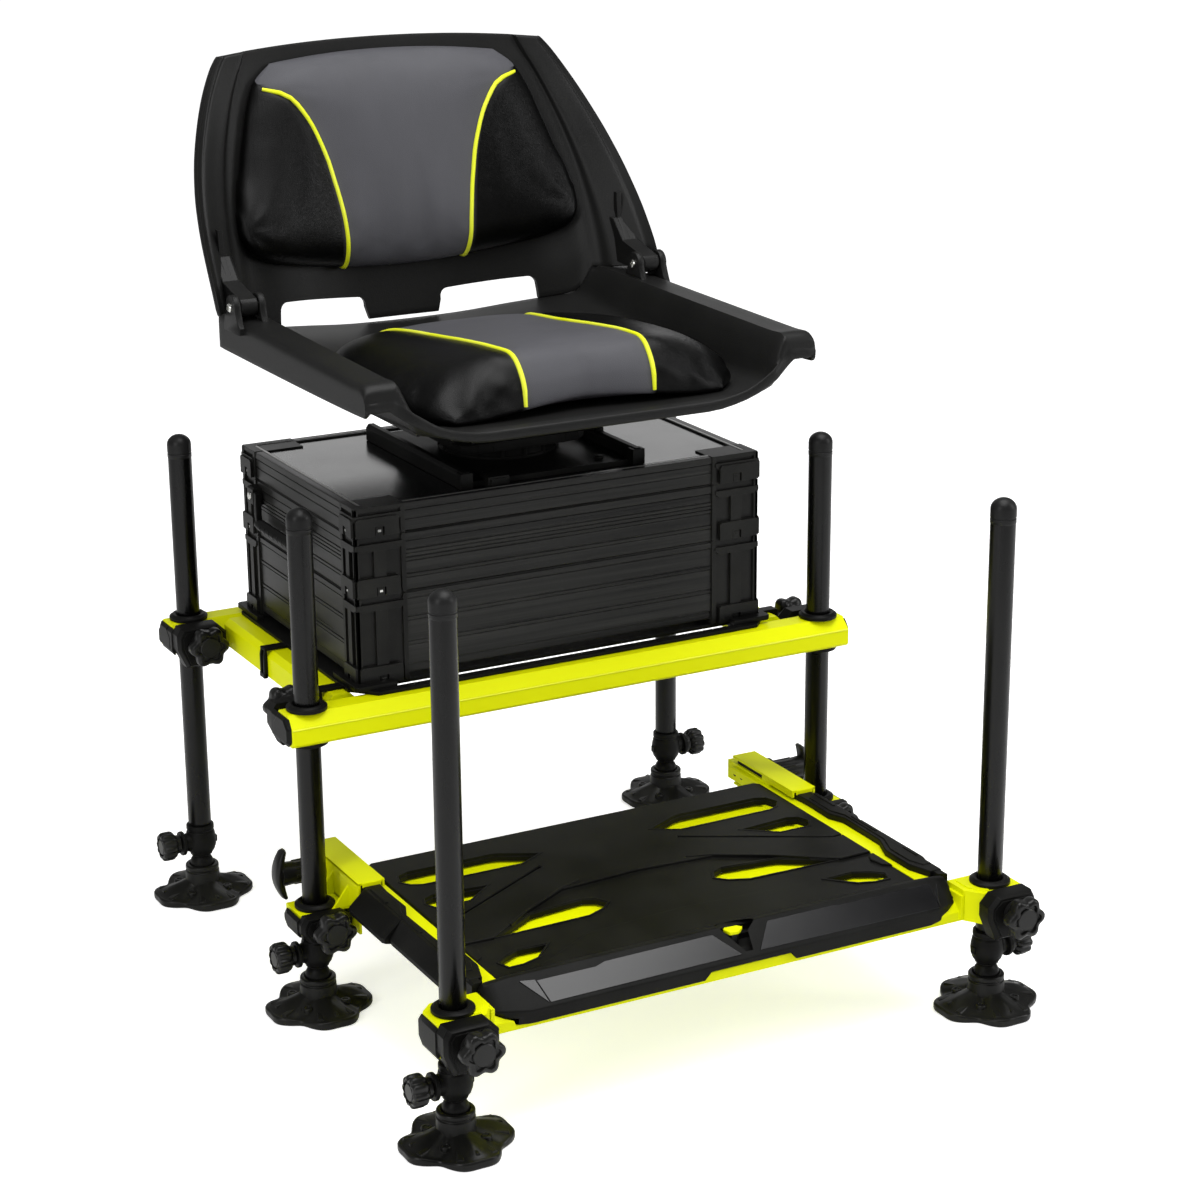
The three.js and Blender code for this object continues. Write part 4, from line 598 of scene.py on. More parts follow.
def leg_tube(top):
    """A drawn tube with a soft cap: the cap laps the tube by a hair and ends in a dome."""
    form = Form()
    turned(form, "z", [(0, 69.5), (TUBE - 0.3, 69.5), (TUBE, 70), (TUBE, top - 24)], sides=56)
    cap_radius, rise = 12.8, 11
    dome = [(cap_radius * math.cos(t), top - rise + rise * math.sin(t))
            for t in np.linspace(0, math.pi / 2, 10)[:-1]]
    cap = [(12.4, top - 25), (cap_radius, top - 24.4), (cap_radius, top - 20.6), (12.2, top - 20.1),
           (12.2, top - 19.3), (cap_radius, top - 18.8)]
    turned(form, "z", cap + dome + [(0, top)], sides=56, coat=1)
    return form


def lobes(count, depth, crisp):
    """The share of the radius at each turn of a grip with that many lobes."""
    def share(turn, radius):
        wave = 0.5 - 0.5 * math.cos(turn * count)
        return 1 - depth / radius * wave ** crisp if radius > depth * 3 else 1
    return share


def grip(form, axis, at, start, sign, radius, length, count, depth, face, crisp=1.6):
    """A lobed grip with a rolled rim, a sunk face and a raised centre, from start towards sign."""
    def along(value):
        return start + sign * value
    body = [(radius * 0.62, 0), (radius * 0.66, 0.3), (radius * 0.86, length * 0.13),
            (radius * 0.97, length * 0.24), (radius, length * 0.36), (radius, length * 0.78),
            (radius * 0.975, length * 0.88), (radius * 0.92, length * 0.95),
            (radius * 0.85, length * 0.985), (radius * 0.8, length)]
    dish = [(radius * 0.74, length), (radius * 0.7, length - face), (0, length - face)]
    turned(form, axis, [(r, along(v)) for r, v in body + dish], at, 96, lobe=lobes(count, depth, crisp))
    disc = [(0, length - face - 0.5), (radius * 0.5, length - face - 0.5),
            (radius * 0.52, length - face * 0.45), (radius * 0.48, length - face * 0.2),
            (radius * 0.2, length - face * 0.15), (0, length - face * 0.15)]
    turned(form, axis, [(r, along(v)) for r, v in disc], at, 48)


def foot_block():
    """The swelling block under a leg: a collar, a side boss with its flange and stud, and a neck."""
    form = Form()
    profile = [(0, 84), (12.7, 84), (14.2, 84), (15, 83.4), (15.2, 82), (15.2, 78.6), (14.3, 77.8),
               (14.3, 76.6), (15.3, 75.4), (16.6, 69), (17.1, 64), (16.6, 59), (14.9, 54), (12.4, 50.5),
               (12.0, 48.8), (10.4, 48), (9.2, 47.2), (8.6, 46)]
    ball = [polar(13, t, (0, 37)) for t in np.linspace(0.83, -math.pi / 2, 12)]
    turned(form, "z", profile + ball[:-1] + [(0, 24)], sides=48)
    boss = [(0, 2), (11.4, 2), (10.6, 15), (9.6, 18), (9.6, 19.4), (12.6, 19.8), (13.5, 20.4), (13.5, 23.4),
            (13, 24), (6, 24), (3, 24.2), (3, 41.6), (2.4, 42), (0, 42)]
    turned(form, "x", boss, (0, FOOT_LOCK_Z), 40)
    prism(form, "y", [(-17.4, 60), (-18.2, 61), (-18.2, 67), (-17.4, 68), (-12, 68), (-12, 60)], -3.4, 3.4)
    return form


# The ribs on each lobe of a foot: offset of its turn, near and far end, half width and top
FOOT_RIBS = ((0.0, 21, 47, 2.0, 16.5), (0.36, 33, 49, 3.4, 12.4), (-0.36, 33, 49, 3.4, 12.4))


def mud_foot():
    """Four broad lobes with raised spines, cleats and a lip, under a collared hub that holds the ball."""
    form = Form()
    reach_full, reach_valley = 55, 10
    rings = []
    shares = (0.0, 0.3, 0.36, 0.46, 0.58, 0.7, 0.8, 0.87, 0.93, 0.975, 1.0, 1.0, 0.985)
    for step, share in enumerate(shares):
        ring = []
        for turn in turns(144):
            valley = abs(math.sin(turn * 2)) ** 6
            spine = abs(math.cos(turn * 2)) ** 10
            cleat = 1.2 * (0.5 + 0.5 * math.cos(turn * 12)) * (1 - valley)
            edge = reach_full - reach_valley * valley - cleat
            fall = mix(21.5, 8.6, bounded((share - 0.3) / 0.6) ** 0.7)
            ridge = 3.2 * spine * math.sin(math.pi * bounded((share - 0.3) / 0.68))
            height = fall + ridge - 3 * valley * share
            if step >= 8:
                height = mix(height, 8.2 - 3 * valley, 0.5)
            height = {0: 22, 10: 6.8 - 3 * valley, 11: 2.2, 12: 0}.get(step, height)
            ring.append((*polar(max(edge * share, 0.4), turn), height))
        rings.append(ring)
    loft(form, rings)
    hub = [(0, 12), (19.5, 12), (18.9, 24), (18.5, 26), (18.5, 29), (17.1, 29.8), (17.1, 31.2), (18.3, 32),
           (18.3, 35.4), (17.4, 36.6), (14.6, 37), (13.8, 36.6), (13.6, 30), (0, 30)]
    turned(form, "z", hub, sides=64)
    for quarter in range(4):
        turn = quarter * math.pi / 2
        for offset, near, far, half, top in FOOT_RIBS:
            forward = polar(1, turn + offset)
            side = (-forward[1], forward[0])
            rings = []
            for level, grow in ((4, 1.25), (top - 1.4, 1.05), (top, 0.72)):
                ring = []
                for reach, across in ((near, -half), (far, -half), (far, half), (near, half)):
                    middle = (near + far) / 2
                    out = middle + (reach - middle) * (0.8 + 0.2 * grow)
                    lift = level - (0.16 * (out - near) if level > 5 else 0)
                    ring.append((out * forward[0] + across * grow * side[0],
                                 out * forward[1] + across * grow * side[1], lift))
                rings.append(ring)
            loft(form, rings)
        turned(form, "z", [(0, 6), (5.6, 6), (5.4, 12.6), (4.6, 13.6), (2.9, 13.8), (2.6, 12.8), (0, 12.8)],
               polar(29, turn + math.pi / 4), 20)
    return form


def clamp_block(bottom, top, half, depth, drop):
    """A clamp round a leg: flanged bush, faceted block past the rail's face, plug and stud."""
    form = Form()
    flange = 20.5
    rise = [(TUBE_BORE, top + 5), (14.6, top + 6.4), (17.2, top + 6.2), (18.6, top + 4.6),
            (flange, top + 3.8), (flange, top + 0.4), (19.6, top), (TUBE_BORE, top)]
    foot = [(TUBE_BORE, bottom), (19.6, bottom), (flange, bottom - 0.5), (flange, bottom - 3.8),
            (18.4, bottom - 4.8), (TUBE_BORE, bottom - 5)]
    for ring in (rise, foot):
        turned(form, "z", ring, sides=56, is_ring=True)
    tall = top - bottom
    face = -half - depth
    outline = [(-28, bottom + tall * 0.35), (-18, bottom - drop), (18, bottom - drop),
               (27.5, bottom + tall * 0.3), (27.5, top - 6), (23, top + 2), (-18, top + 2),
               (-28, bottom + tall * 0.75)]
    small = [(u * 0.9, mix((bottom + top) / 2, v, 0.88)) for u, v in outline]
    tapered(form, "y", [outline, outline, small], [-half + 0.2, face + 5, face])
    ridge = [(-24, bottom + tall * 0.45), (-15, bottom - drop + 5), (15, bottom - drop + 5),
             (22, bottom + tall * 0.38), (22, top - 8), (18, top - 2.5), (-15, top - 2.5),
             (-24, bottom + tall * 0.68)]
    prism(form, "y", ridge, face - 1.4, face + 2)
    turned(form, "y", [(0, face - 14), (3.4, face - 14), (4, face - 13.4), (4, face - 2), (9, face - 1.9),
                       (9, face + 1), (0, face + 1)], (0, (bottom + top) / 2), 24)
    low, high, near, far = bottom - 0.4, bottom + tall * 0.92, -half - 0.6, half - 2
    plug = [(near, low), (far - 8, low), (far, low + 7), (far, high - 8), (far - 7, high), (near, high)]
    small = [(mix(-half, u, 0.8), mix(bottom + tall / 2, v, 0.72)) for u, v in plug]
    tapered(form, "x", [plug, plug, small], [24.4, 26, 28.6])
    prism(form, "y", rectangle((-14, 14), (bottom + 4, top - 4)), -half - 1, -half + 4)
    return form


def clamp_knob():
    """The big grip of a clamp, its back on y = 0, pointing to -y."""
    form = Form()
    turned(form, "y", [(4.3, 0), (14.2, 0), (15, -0.8), (15, -6), (4.3, -6)], sides=48)
    grip(form, "y", (0, 0), -5, -1, 22, 17, 6, 4.2, 2.6, crisp=1.2)
    for angle in (0.0, math.pi):
        turned(form, "y", [(0, -18.4), (1.5, -18.4), (1.5, -20.6), (1.1, -21), (0, -21)],
               polar(11.8, angle + 0.5), 14)
    return form


def build_legs():
    block_form, foot_form = foot_block(), mud_foot()
    tilt_form = Form()
    grip(tilt_form, "x", (0, FOOT_LOCK_Z), 29, 1, 16, 18, 10, 2.0, 2.2)
    turned(tilt_form, "x", [(3.3, 25.2), (9.6, 25.2), (10.2, 26), (10.2, 29.5), (3.3, 29.5)],
           (0, FOOT_LOCK_Z), 40)
    knob_form = clamp_knob()
    for name, (side, y, top, knob_side) in LEGS.items():
        at = (side * LEG_X, y, 0)
        on_plate = name.startswith("plate")
        bottom, rail_top, half = RAIL_BOTTOM, RAIL_TOP, RAIL_HALF
        if on_plate:
            bottom, rail_top, half = PLATE_RAIL_BOTTOM, PLATE_RAIL_TOP, PLATE_RAIL_HALF
        piece("tube_" + name, leg_tube(top).placed(at), [TUBE_BLACK, CAP_BLACK], f"leg_{name}_unit",
              [f"leg_{name}"], bevel=0)
        piece("swivel_block_" + name, block_form.placed(at, (side, 1, 1)), [MOULDED], f"leg_{name}_unit",
              [f"foot_block_{name}"], bevel=0.5)
        piece("lobed_foot_" + name, foot_form.placed(at), [FOOT_BLACK], f"foot_{name}",
              [f"mud_foot_{name}"], bevel=0.6, sharp=28)
        piece("tilt_grip_" + name, tilt_form.placed(at, (side, 1, 1)), [KNOB_BLACK], f"foot_lock_{name}",
              [f"foot_knob_{name}"], bevel=0)
        block = clamp_block(bottom, rail_top, half, 20, 12)
        piece("rail_clamp_" + name, block.placed(at, (side, -knob_side, 1)), [MOULDED],
              "footplate" if on_plate else "frame", [f"leg_clamp_{name}"], bevel=1.0)
        reach = half + 22
        knob = knob_form.placed((0, -reach, (bottom + rail_top) / 2)).placed(at, (side, -knob_side, 1))
        piece("clamp_grip_" + name, knob, [KNOB_BLACK], f"clamp_lock_{name}", [f"clamp_knob_{name}"],
              bevel=0)


build_legs()


# Frame
def rail_outline(half, bottom, top, chamfer, foot):
    return [(-half + foot, bottom), (half - foot, bottom), (half, bottom + foot), (half, top - chamfer),
            (half - chamfer, top), (-half + chamfer, top), (-half, top - chamfer), (-half, bottom + foot)]


def welded_frame():
    """Front and rear rails with side rails between them; the ends are closed by black plugs."""
    form = Form()
    middle_z = (RAIL_BOTTOM + RAIL_TOP) // 2
    section = rail_outline(RAIL_HALF, RAIL_BOTTOM, RAIL_TOP, 12, 3)
    for y in (0, REAR_Y):
        prism(form, "x", [(u + y, v) for u, v in section], -322, 322)
    for side in (-1, 1):
        side_rail = [(u + side * 250, v) for u, v in rail_outline(15, RAIL_BOTTOM, RAIL_TOP, 6, 3)]
        prism(form, "y", side_rail, 22.6, REAR_Y - 22.6)
        for y in (0, REAR_Y):
            inner = [(mix(y, u + y, 0.86), mix(middle_z, v, 0.84)) for u, v in section]
            small = [(mix(y, u, 0.84), mix(middle_z, v, 0.8)) for u, v in inner]
            tapered(form, "x", [inner, inner, small], [side * 320, side * 323.4, side * 326], 1)
    # A thin strip of the paler lime along the front rail's upper front edge: a painted highlight
    bead = [polar(1.1, turn, (-22.7, 310.8)) for turn in turns(8)]
    prism(form, "x", bead, -321.6, 321.6, 2)
    return form


def box_tray():
    """A thin tray on the rails, with raised corners that hold the box and clips round the side rails."""
    form = Form()
    for side in (-1, 1):
        prism(form, "z", [(side * 195.7, -1.6), (side * 220, -1.6), (side * 243, 24), (side * 243, 314),
                          (side * 220, 344), (side * 195.7, 344)], 323.15, 327)
        for front, rear in ((36, 49), (183, 196)):
            slab(form, span(side, 232, 268.2), (front, rear), (323.2, 326.4))
            hook = [(side * 265.3, 293.6), (side * 268.2, 293.2), (side * 269.4, 300), (side * 269.4, 318),
                    (side * 267.4, 326.3), (side * 265.3, 326.3)]
            for bar in (front, rear - 4):
                prism(form, "y", hook, bar, bar + 4)
            slab(form, span(side, 265.3, 270), (front, rear), (293.4, 299))
        for y, sign in ((20, 1), (318, -1)):
            lip = [(side * 238, y - sign * 14), (side * 241, y - sign * 11), (side * 241, y + sign * 46),
                   (side * 233.4, y + sign * 46), (side * 233.4, y - sign * 2.4),
                   (side * 196, y - sign * 2.4), (side * 196, y - sign * 14)]
            prism(form, "z", lip, 326.8, 332.2)
    for front, rear in ((-1.8, 10), (22, 52), (286, 343.8)):
        slab(form, (-196, 196), (front, rear), (323.15, 326.9))
    return form


piece("welded_rails", welded_frame(), [LIME, MOULDED, LIME_PAINTED_HIGHLIGHT], "frame", ["main_frame"],
      bevel=1.4, steps=3)
piece("box_cradle", box_tray(), [MOULDED], "frame", ["box_tray"], bevel=0.8)

# Box
BOX_HALF, BOX_FRONT, BOX_REAR = 232, 20, 318
BASE_FOOT, BASE_TOP, SHALLOW_TOP, LID_TOP = 327, 419, 481, 511
POST_WIDTH, POST_DEPTH = 56, 36
HANDLE_Y, HANDLE_PIN_Z = 212, 466
LID_HINGE_X, LID_HINGE_Y, LID_HINGE_Z = 150, 324, 481
SWIVEL_Y = 168
# Level bands of each extruded wall: low edge, high edge and how far each stands proud of the wall
BASE_BANDS = ((333.6, 341, 0.9), (342, 362, 1.5), (362.8, 366, 1.9), (366.8, 388, 1.5), (388.8, 392, 1.9),
              (392.8, 411, 1.5), (412, 417.8, 2.3))
SHALLOW_BANDS = ((420.2, 433, 1.5), (433.8, 437, 1.9), (437.8, 450, 1.5), (450.8, 454, 1.9),
                 (454.8, 458, 1.9), (458.8, 462, 1.9), (462.8, 471, 1.5), (472, 479.8, 2.1))
LID_BANDS = ((482, 493.6, 1.6), (495.4, 503, 1.6), (504, 510.8, 2.5))


def wall_outline(face, outward, inner, bands, bottom, top):
    """The section of an extruded wall: (depth, height) points with chamfered bands on its face."""
    outline = [(inner, bottom), (face, bottom)]
    for low, high, proud in bands:
        chamfer = 0.5
        outline += [(face + outward * 0.7, low),
                    (face + outward * (proud - chamfer * 0.5), low + chamfer * 0.4),
                    (face + outward * proud, low + chamfer), (face + outward * proud, high - chamfer),
                    (face + outward * (proud - chamfer * 0.5), high - chamfer * 0.4),
                    (face + outward * 0.7, high)]
    return outline + [(face, top), (inner, top)]


def extruded_walls(form, bands, bottom, top):
    front, rear = BOX_FRONT + 4, BOX_REAR - 4
    prism(form, "x", wall_outline(front, -1, front + 10, bands, bottom, top), -180, 180)
    prism(form, "x", wall_outline(rear, 1, rear - 10, bands, bottom, top), -180, 180)
    for side in (-1, 1):
        face = side * (BOX_HALF - 4)
        prism(form, "y", wall_outline(face, side, face - side * 10, bands, bottom, top), 53, 285)


def corner_face(form, axis, inner, outer, plane, outward, bottom, top, pin_coat_painted_shade):
    """One dressed face of a corner post: edge strips, a top ridge, a tongue and a notched latch plate."""
    across = outer - inner
    sign = 1 if across > 0 else -1
    width = abs(across)

    def at(distance):
        return inner + sign * distance

    def raised(outline, lift, depth=3.4, coat=1):
        levels = sorted((plane - outward * depth, plane + outward * lift))
        prism(form, axis, [(at(u), v) for u, v in outline], levels[0], levels[1], coat)

    raised([(0.4, bottom + 0.3), (4.2, bottom + 0.3), (5.4, bottom + 4), (5.4, top - 4), (4.2, top - 0.3),
            (0.4, top - 0.3)], -0.4)
    raised(rectangle((width - 5, width), (bottom + 0.3, top - 0.3)), 0.0)
    raised([(4, top - 11), (8, top - 14.5), (width - 6, top - 14.5), (width - 3, top - 12.5),
            (width, top - 12.5), (width, top - 7), (4, top - 7)], 0.9)
    middle = width * 0.52
    half = width * 0.115
    raised(rectangle((middle - half, middle + half), (bottom + 19, top - 13)), 0.6)
    inset = width * 0.15
    low, high = bottom + 1, bottom + 20
    raised([(inset, low), (middle - half * 0.8, low), (middle - half * 0.8, low + 9),
            (middle + half * 0.8, low + 9), (middle + half * 0.8, low), (width - 1, low),
            (width - 1, high - 2), (width - 3, high), (inset + 2, high), (inset, high - 2)], 2.8)
    raised(rectangle((middle - half * 0.62, middle + half * 0.62), (low, low + 8.4)), 1.4)
    # The latch pin, in the coat it is given: where that coat is black, on the right posts, the black is
    # painted shade
    raised(rectangle((middle - 1.7, middle + 1.7), (low + 3.6, low + 6)), 1.8, 0.2, pin_coat_painted_shade)


def corner_posts(form, bottom, top):
    for sx in (-1, 1):
        for sy, face_y in ((-1, BOX_FRONT), (1, BOX_REAR)):
            x = span(sx, BOX_HALF - POST_WIDTH, BOX_HALF - 2.6)
            y = sorted((face_y - sy * 2.6, face_y - sy * POST_DEPTH))
            slab(form, x, y, (bottom, top), 1)
            # Bright metal pins on the left posts; on the right posts the pins are black, a painted shade
            # for pins that catch no light
            pin_coat_painted_shade = 2 if sx < 0 else 1
            corner_face(form, "y", sx * (BOX_HALF - POST_WIDTH), sx * BOX_HALF, face_y, sy, bottom, top,
                        pin_coat_painted_shade)
            corner_face(form, "x", face_y - sy * POST_DEPTH, face_y, sx * BOX_HALF, sx, bottom, top,
                        pin_coat_painted_shade)


def base_module():
    form = Form()
    extruded_walls(form, BASE_BANDS, BASE_FOOT + 6, BASE_TOP - 0.2)
    slab(form, (-220, 220), (30, 308), (BASE_FOOT + 6, BASE_FOOT + 10))
    corner_posts(form, BASE_FOOT, BASE_TOP - 0.15)
    return form


def shallow_module():
    form = Form()
    extruded_walls(form, SHALLOW_BANDS, BASE_TOP, SHALLOW_TOP - 0.2)
    slab(form, (-220, 220), (30, 308), (BASE_TOP + 0.1, BASE_TOP + 4))
    corner_posts(form, BASE_TOP, SHALLOW_TOP - 0.15)
    for end in (-1, 1):
        middle = HANDLE_Y + end * 64
        outline = [(-241, 458), (-239, 456.4), (-222, 456.4), (-222, 475.6), (-239, 475.6), (-241, 474)]
        prism(form, "y", outline, middle - 8, middle + 8, 1)
        cap = Form()
        turned(cap, "x", [(0, 0), (4.2, 0), (4.2, -1.4), (3.4, -2.2), (0, -2.2)], (middle, HANDLE_PIN_Z),
               24, 2)
        form.join(cap.placed((-240.6, 0, 0)))
    for sign in (-1, 1):
        middle = sign * LID_HINGE_X
        for end in (-1, 1):
            x = sorted((middle + end * 20, middle + end * 15))
            lug = [(308, 467), (324, 467), (328.4, 470.6), (330, 477), (330, 481), (328.2, 485.2),
                   (324, 487), (319.8, 485.2), (318, 480.4), (308, 480.4)]
            prism(form, "x", lug, x[0], x[1], 1)
        pin = [(0, -20.8), (2.6, -20.8), (3, -20.2), (3, 20.2), (2.6, 20.8), (0, 20.8)]
        turned(form, "x", [(radius, middle + along) for radius, along in pin], (LID_HINGE_Y, LID_HINGE_Z),
               24, 2)
    return form


def lid():
    form = Form()
    extruded_walls(form, LID_BANDS, SHALLOW_TOP + 0.1, LID_TOP - 0.2)
    slab(form, (-224, 224), (28, 310), (505.2, 509), 3)
    corner_posts(form, SHALLOW_TOP + 0.1, LID_TOP - 0.3)
    for sx in (-1, 1):
        for sy, face_y in ((-1, BOX_FRONT), (1, BOX_REAR)):
            inner_x, outer_x = sx * (BOX_HALF - POST_WIDTH), sx * (BOX_HALF - 0.6)
            inner_y, outer_y = face_y - sy * POST_DEPTH, face_y - sy * 0.6
            corner = [(inner_x, outer_y), (outer_x, outer_y), (outer_x, inner_y),
                      (outer_x - sx * 9, inner_y), (outer_x - sx * 9, outer_y - sy * 14),
                      (outer_x - sx * 14, outer_y - sy * 9), (inner_x, outer_y - sy * 9)]
            prism(form, "z", corner, 507, 511.4, 1)
        slab(form, span(sx, 222.6, 229), (56, 282), (507, 510.9))
        slab(form, span(sx, 219, 221.6), (30, 308), (507, 511.2), 2)
    slab(form, (-176, 176), (310.4, 316), (507, 510.9))
    slab(form, (-219, 219), (307.6, 309.6), (507, 511.2), 2)
    slab(form, (-176, 176), (21.6, 27), (507, 510.7))
    slab(form, (-219, 219), (28, 30), (507, 511.2), 2)
    for sign in (-1, 1):
        leaf = [(312, 481.6), (320, 481.6), (324, 475.2), (328.4, 476.8), (330, 481), (328.4, 485.2),
                (324, 487), (312, 487)]
        prism(form, "x", leaf, sign * LID_HINGE_X - 14.6, sign * LID_HINGE_X + 14.6, 1)
    return form


def carry_handle():
    """A drop handle with a thick moulded grip, hung on two pins."""
    form = Form()
    x = -237.4
    for end in (-1, 1):
        y = HANDLE_Y + end * 52.4
        arm = [(y - 3.6, 470), (y - 3.6, 446), (y - 2 - end * 3, 438), (y + 2 - end * 3, 438),
               (y + 3.6, 446), (y + 3.6, 470), (y + 2, 472), (y - 2, 472)]
        prism(form, "x", arm, x - 3.2, x + 3.2)
        levels = sorted((y, HANDLE_Y + end * 61.6))
        turned(form, "y", [(0, levels[0]), (2.7, levels[0]), (2.7, levels[1]), (0, levels[1])],
               (x, HANDLE_PIN_Z), 20)
    outline = [(x - 4.6, 440), (x - 5.6, 436), (x - 4, 432.8), (x, 431.9), (x + 3, 433.6), (x + 3.7, 438),
               (x + 3, 443), (x - 1, 444.4)]
    slim = [(mix(x, u, 0.8), mix(438, v, 0.72)) for u, v in outline]
    tapered(form, "y", [slim, outline, outline, slim], [156.4, 170, 254, 267.6])
    for k in range(7):
        y = 176 + k * 12
        ridge = [(mix(x, u, 1.07), mix(438, v, 1.03)) for u, v in outline[:5]] + [(x, 438)]
        prism(form, "y", ridge, y - 1.6, y + 1.6)
    return form


def swivel_base():
    """The plate on the lid: a sheet with edge bars and a front tab, and the swivel's ring and stem."""
    form = Form()
    prism(form, "z", rounded((-100, 100), (45, 275), 6), 509.2, 515)
    for side in (-1, 1):
        bar = [(side * 93, 509.3), (side * 105, 509.3), (side * 105, 523), (side * 102, 527),
               (side * 96, 527), (side * 93, 524)]
        prism(form, "y", bar, 41, 277)
        slab(form, span(side, 92, 106), (39, 51), (509.3, 526))
        bolt = [(0, 514), (5.4, 514), (5.4, 517.2), (4.2, 518.4), (0, 518.4)]
        turned(form, "z", bolt, (side * 65, 64), 6)
    slab(form, (-77, -53), (35, 55), (509.3, 520))
    slab(form, (-74, -56), (33.8, 40), (511, 518))
    ring = [(0, 514), (64, 514), (64, 517), (62, 519), (62, 529), (60.4, 530.9), (0, 530.9)]
    turned(form, "z", ring, (0, SWIVEL_Y), 72)
    turned(form, "z", [(0, 530), (14, 530), (14, 538.6), (13, 539), (0, 539)], (0, SWIVEL_Y), 40, 1)
    for turn in turns(16):
        turned(form, "z", [(0, 516), (2.4, 516), (2.4, 528), (1.6, 529), (0, 529)],
               polar(62.2, turn, (0, SWIVEL_Y)), 10)
    return form


def side_screw(y):
    """A small wing screw that stands on the right edge bar."""
    form = Form()
    turned(form, "z", [(0, 524), (5.6, 524), (5.6, 530), (3.4, 531), (3.4, 534), (0, 534)], (99, y), 24)
    turned(form, "z", [(0, 532), (4.6, 532), (6.2, 534), (6, 537), (4, 539.4), (0, 540)], (99, y), 24)
    return form


def turntable():
    """The turning head: a disc, a ribbed tapered box and a flange under the seat."""
    form = Form()
    middle = SWIVEL_Y
    disc = [(14.6, 531.3), (57.5, 531.3), (60, 533), (60, 539), (57, 540.4), (14.6, 540.4)]
    turned(form, "z", disc, (0, middle), 72)

    def square(half, corner):
        return rounded((-half, half), (middle - half, middle + half), corner, 5)

    tapered(form, "z", [square(76, 12), square(84, 12), square(88, 12), square(92, 10), square(92, 10),
                        square(91, 10)], [539.4, 541, 553, 557, 565, 566])
    for sign in (-1, 1):
        wall = [(sign * u, v) for u, v in ((66, -42), (74, -42), (74, 42), (66, 42))]
        prism(form, "z", [(u, middle + v) for u, v in wall], 528.6, 541)
        prism(form, "z", [(v, middle + u) for u, v in wall], 528.6, 541)
        for end in (-1, 1):
            corner = [(66, 42), (74, 42), (72, 58), (58, 72), (42, 74), (42, 66), (54, 64), (64, 54)]
            prism(form, "z", [(sign * u, middle + end * v) for u, v in corner], 528.6, 541)
    for k in range(-3, 4):
        for plane in (-1, 1):
            y = sorted((middle + plane * 78, middle + plane * 89.6))
            slab(form, (k * 24 - 2, k * 24 + 2), y, (544, 561))
            slab(form, span(plane, 78, 89.6), (middle + k * 24 - 2, middle + k * 24 + 2), (544, 561))
    return form


BOX_FINISHES = [PANEL_BLACK, CORNER_BLACK, STEEL, LID_BLACK]
piece("base_box", base_module(), BOX_FINISHES, "frame", ["base_module"], bevel=0.45)
piece("shallow_box", shallow_module(), BOX_FINISHES, "module", ["shallow_module"],
      bevel=0.45)
piece("box_lid", lid(), [PANEL_BLACK, CORNER_BLACK, TRIM_BRIGHT, LID_BLACK], "lid_unit", ["lid"],
      bevel=0.45)
piece("drop_handle", carry_handle(), [MOULDED], "handle", ["carry_handle"], bevel=0.9)
swivel_form = swivel_base()
for screw_y in (128, 150):
    swivel_form.join(side_screw(screw_y))
piece("swivel_plate", swivel_form, [SWIVEL_BLACK, STEEL], "lid_unit", ["swivel_base"],
      bevel=0.7)
piece("swivel_head", turntable(), [SWIVEL_BLACK], "seat", ["swivel_turntable"], bevel=0.8)

# Footplate
DECK_HALF, DECK_REAR, DECK_TOP = 234, 18, 138
MEMBER_IN, MEMBER_OUT, RAIL_OUT = 214, 240, 265
LOCK_Y, LOCK_Z = 52, 130
SLEEVE_FRONT, SLEEVE_REAR, SLEEVE_IN, SLEEVE_OUT = -45, 80, 239.4, 268.4
SLEEVE_BOTTOM, SLEEVE_TOP, ARM_HALF, ARM_OUT = 92, 113, 21, 320
CREST_Y, CREST_Z, NOSE_Y, NOSE_Z, SKIRT = -300, 142.5, -334, 121, 107
NOTCH_X = 14


def offset_outline(outline, distance):
    """The outline moved outwards by a distance; a minus distance moves it inwards."""
    count = len(outline)
    area = sum(outline[k][0] * outline[(k + 1) % count][1] - outline[(k + 1) % count][0] * outline[k][1]
               for k in range(count))
    way = distance if area > 0 else -distance
    moved = []
    for k in range(count):
        before, here, after = (Vector(outline[(k + step) % count]) for step in (-1, 0, 1))
        first, second = (here - before).normalized(), (after - here).normalized()
        normal = Vector((first.y + second.y, -first.x - second.x)).normalized()
        spread_out = max(0.45, normal.dot(Vector((first.y, -first.x))))
        moved.append(tuple(here + normal * way / spread_out))
    return moved


def plate(form, outline, holes, bottom, top, edge):
    """A level plate with holes; the upper rim of each loop is rolled over by the edge."""
    loops = [outline] + list(holes)
    points, faces, upper, lower = [], [], [], []
    for number, loop in enumerate(loops):
        inward = -1 if number == 0 else 1
        start = len(points)
        count = len(loop)
        rings = [(0, bottom), (0, top - edge), (0.3 * edge, top - 0.3 * edge), (edge, top)]
        for inset, level in rings:
            points += [(u, v, level) for u, v in (offset_outline(loop, inward * inset) if inset else loop)]
        for ring in range(len(rings) - 1):
            for k in range(count):
                a, b = start + ring * count + k, start + ring * count + (k + 1) % count
                faces.append((a, b, b + count, a + count))
        lower.append(list(range(start, start + count)))
        upper.append(list(range(start + count * (len(rings) - 1), start + count * len(rings))))
    for sets in (upper, lower):
        flat = [index for loop in sets for index in loop]
        for triangle in tessellate_polygon([[Vector(points[index]) for index in loop] for loop in sets]):
            faces.append(tuple(flat[k] for k in triangle))
    return form.shell(points, faces)


def mirrored_outline(outline):
    return [(-x, y) for x, y in reversed(outline)]


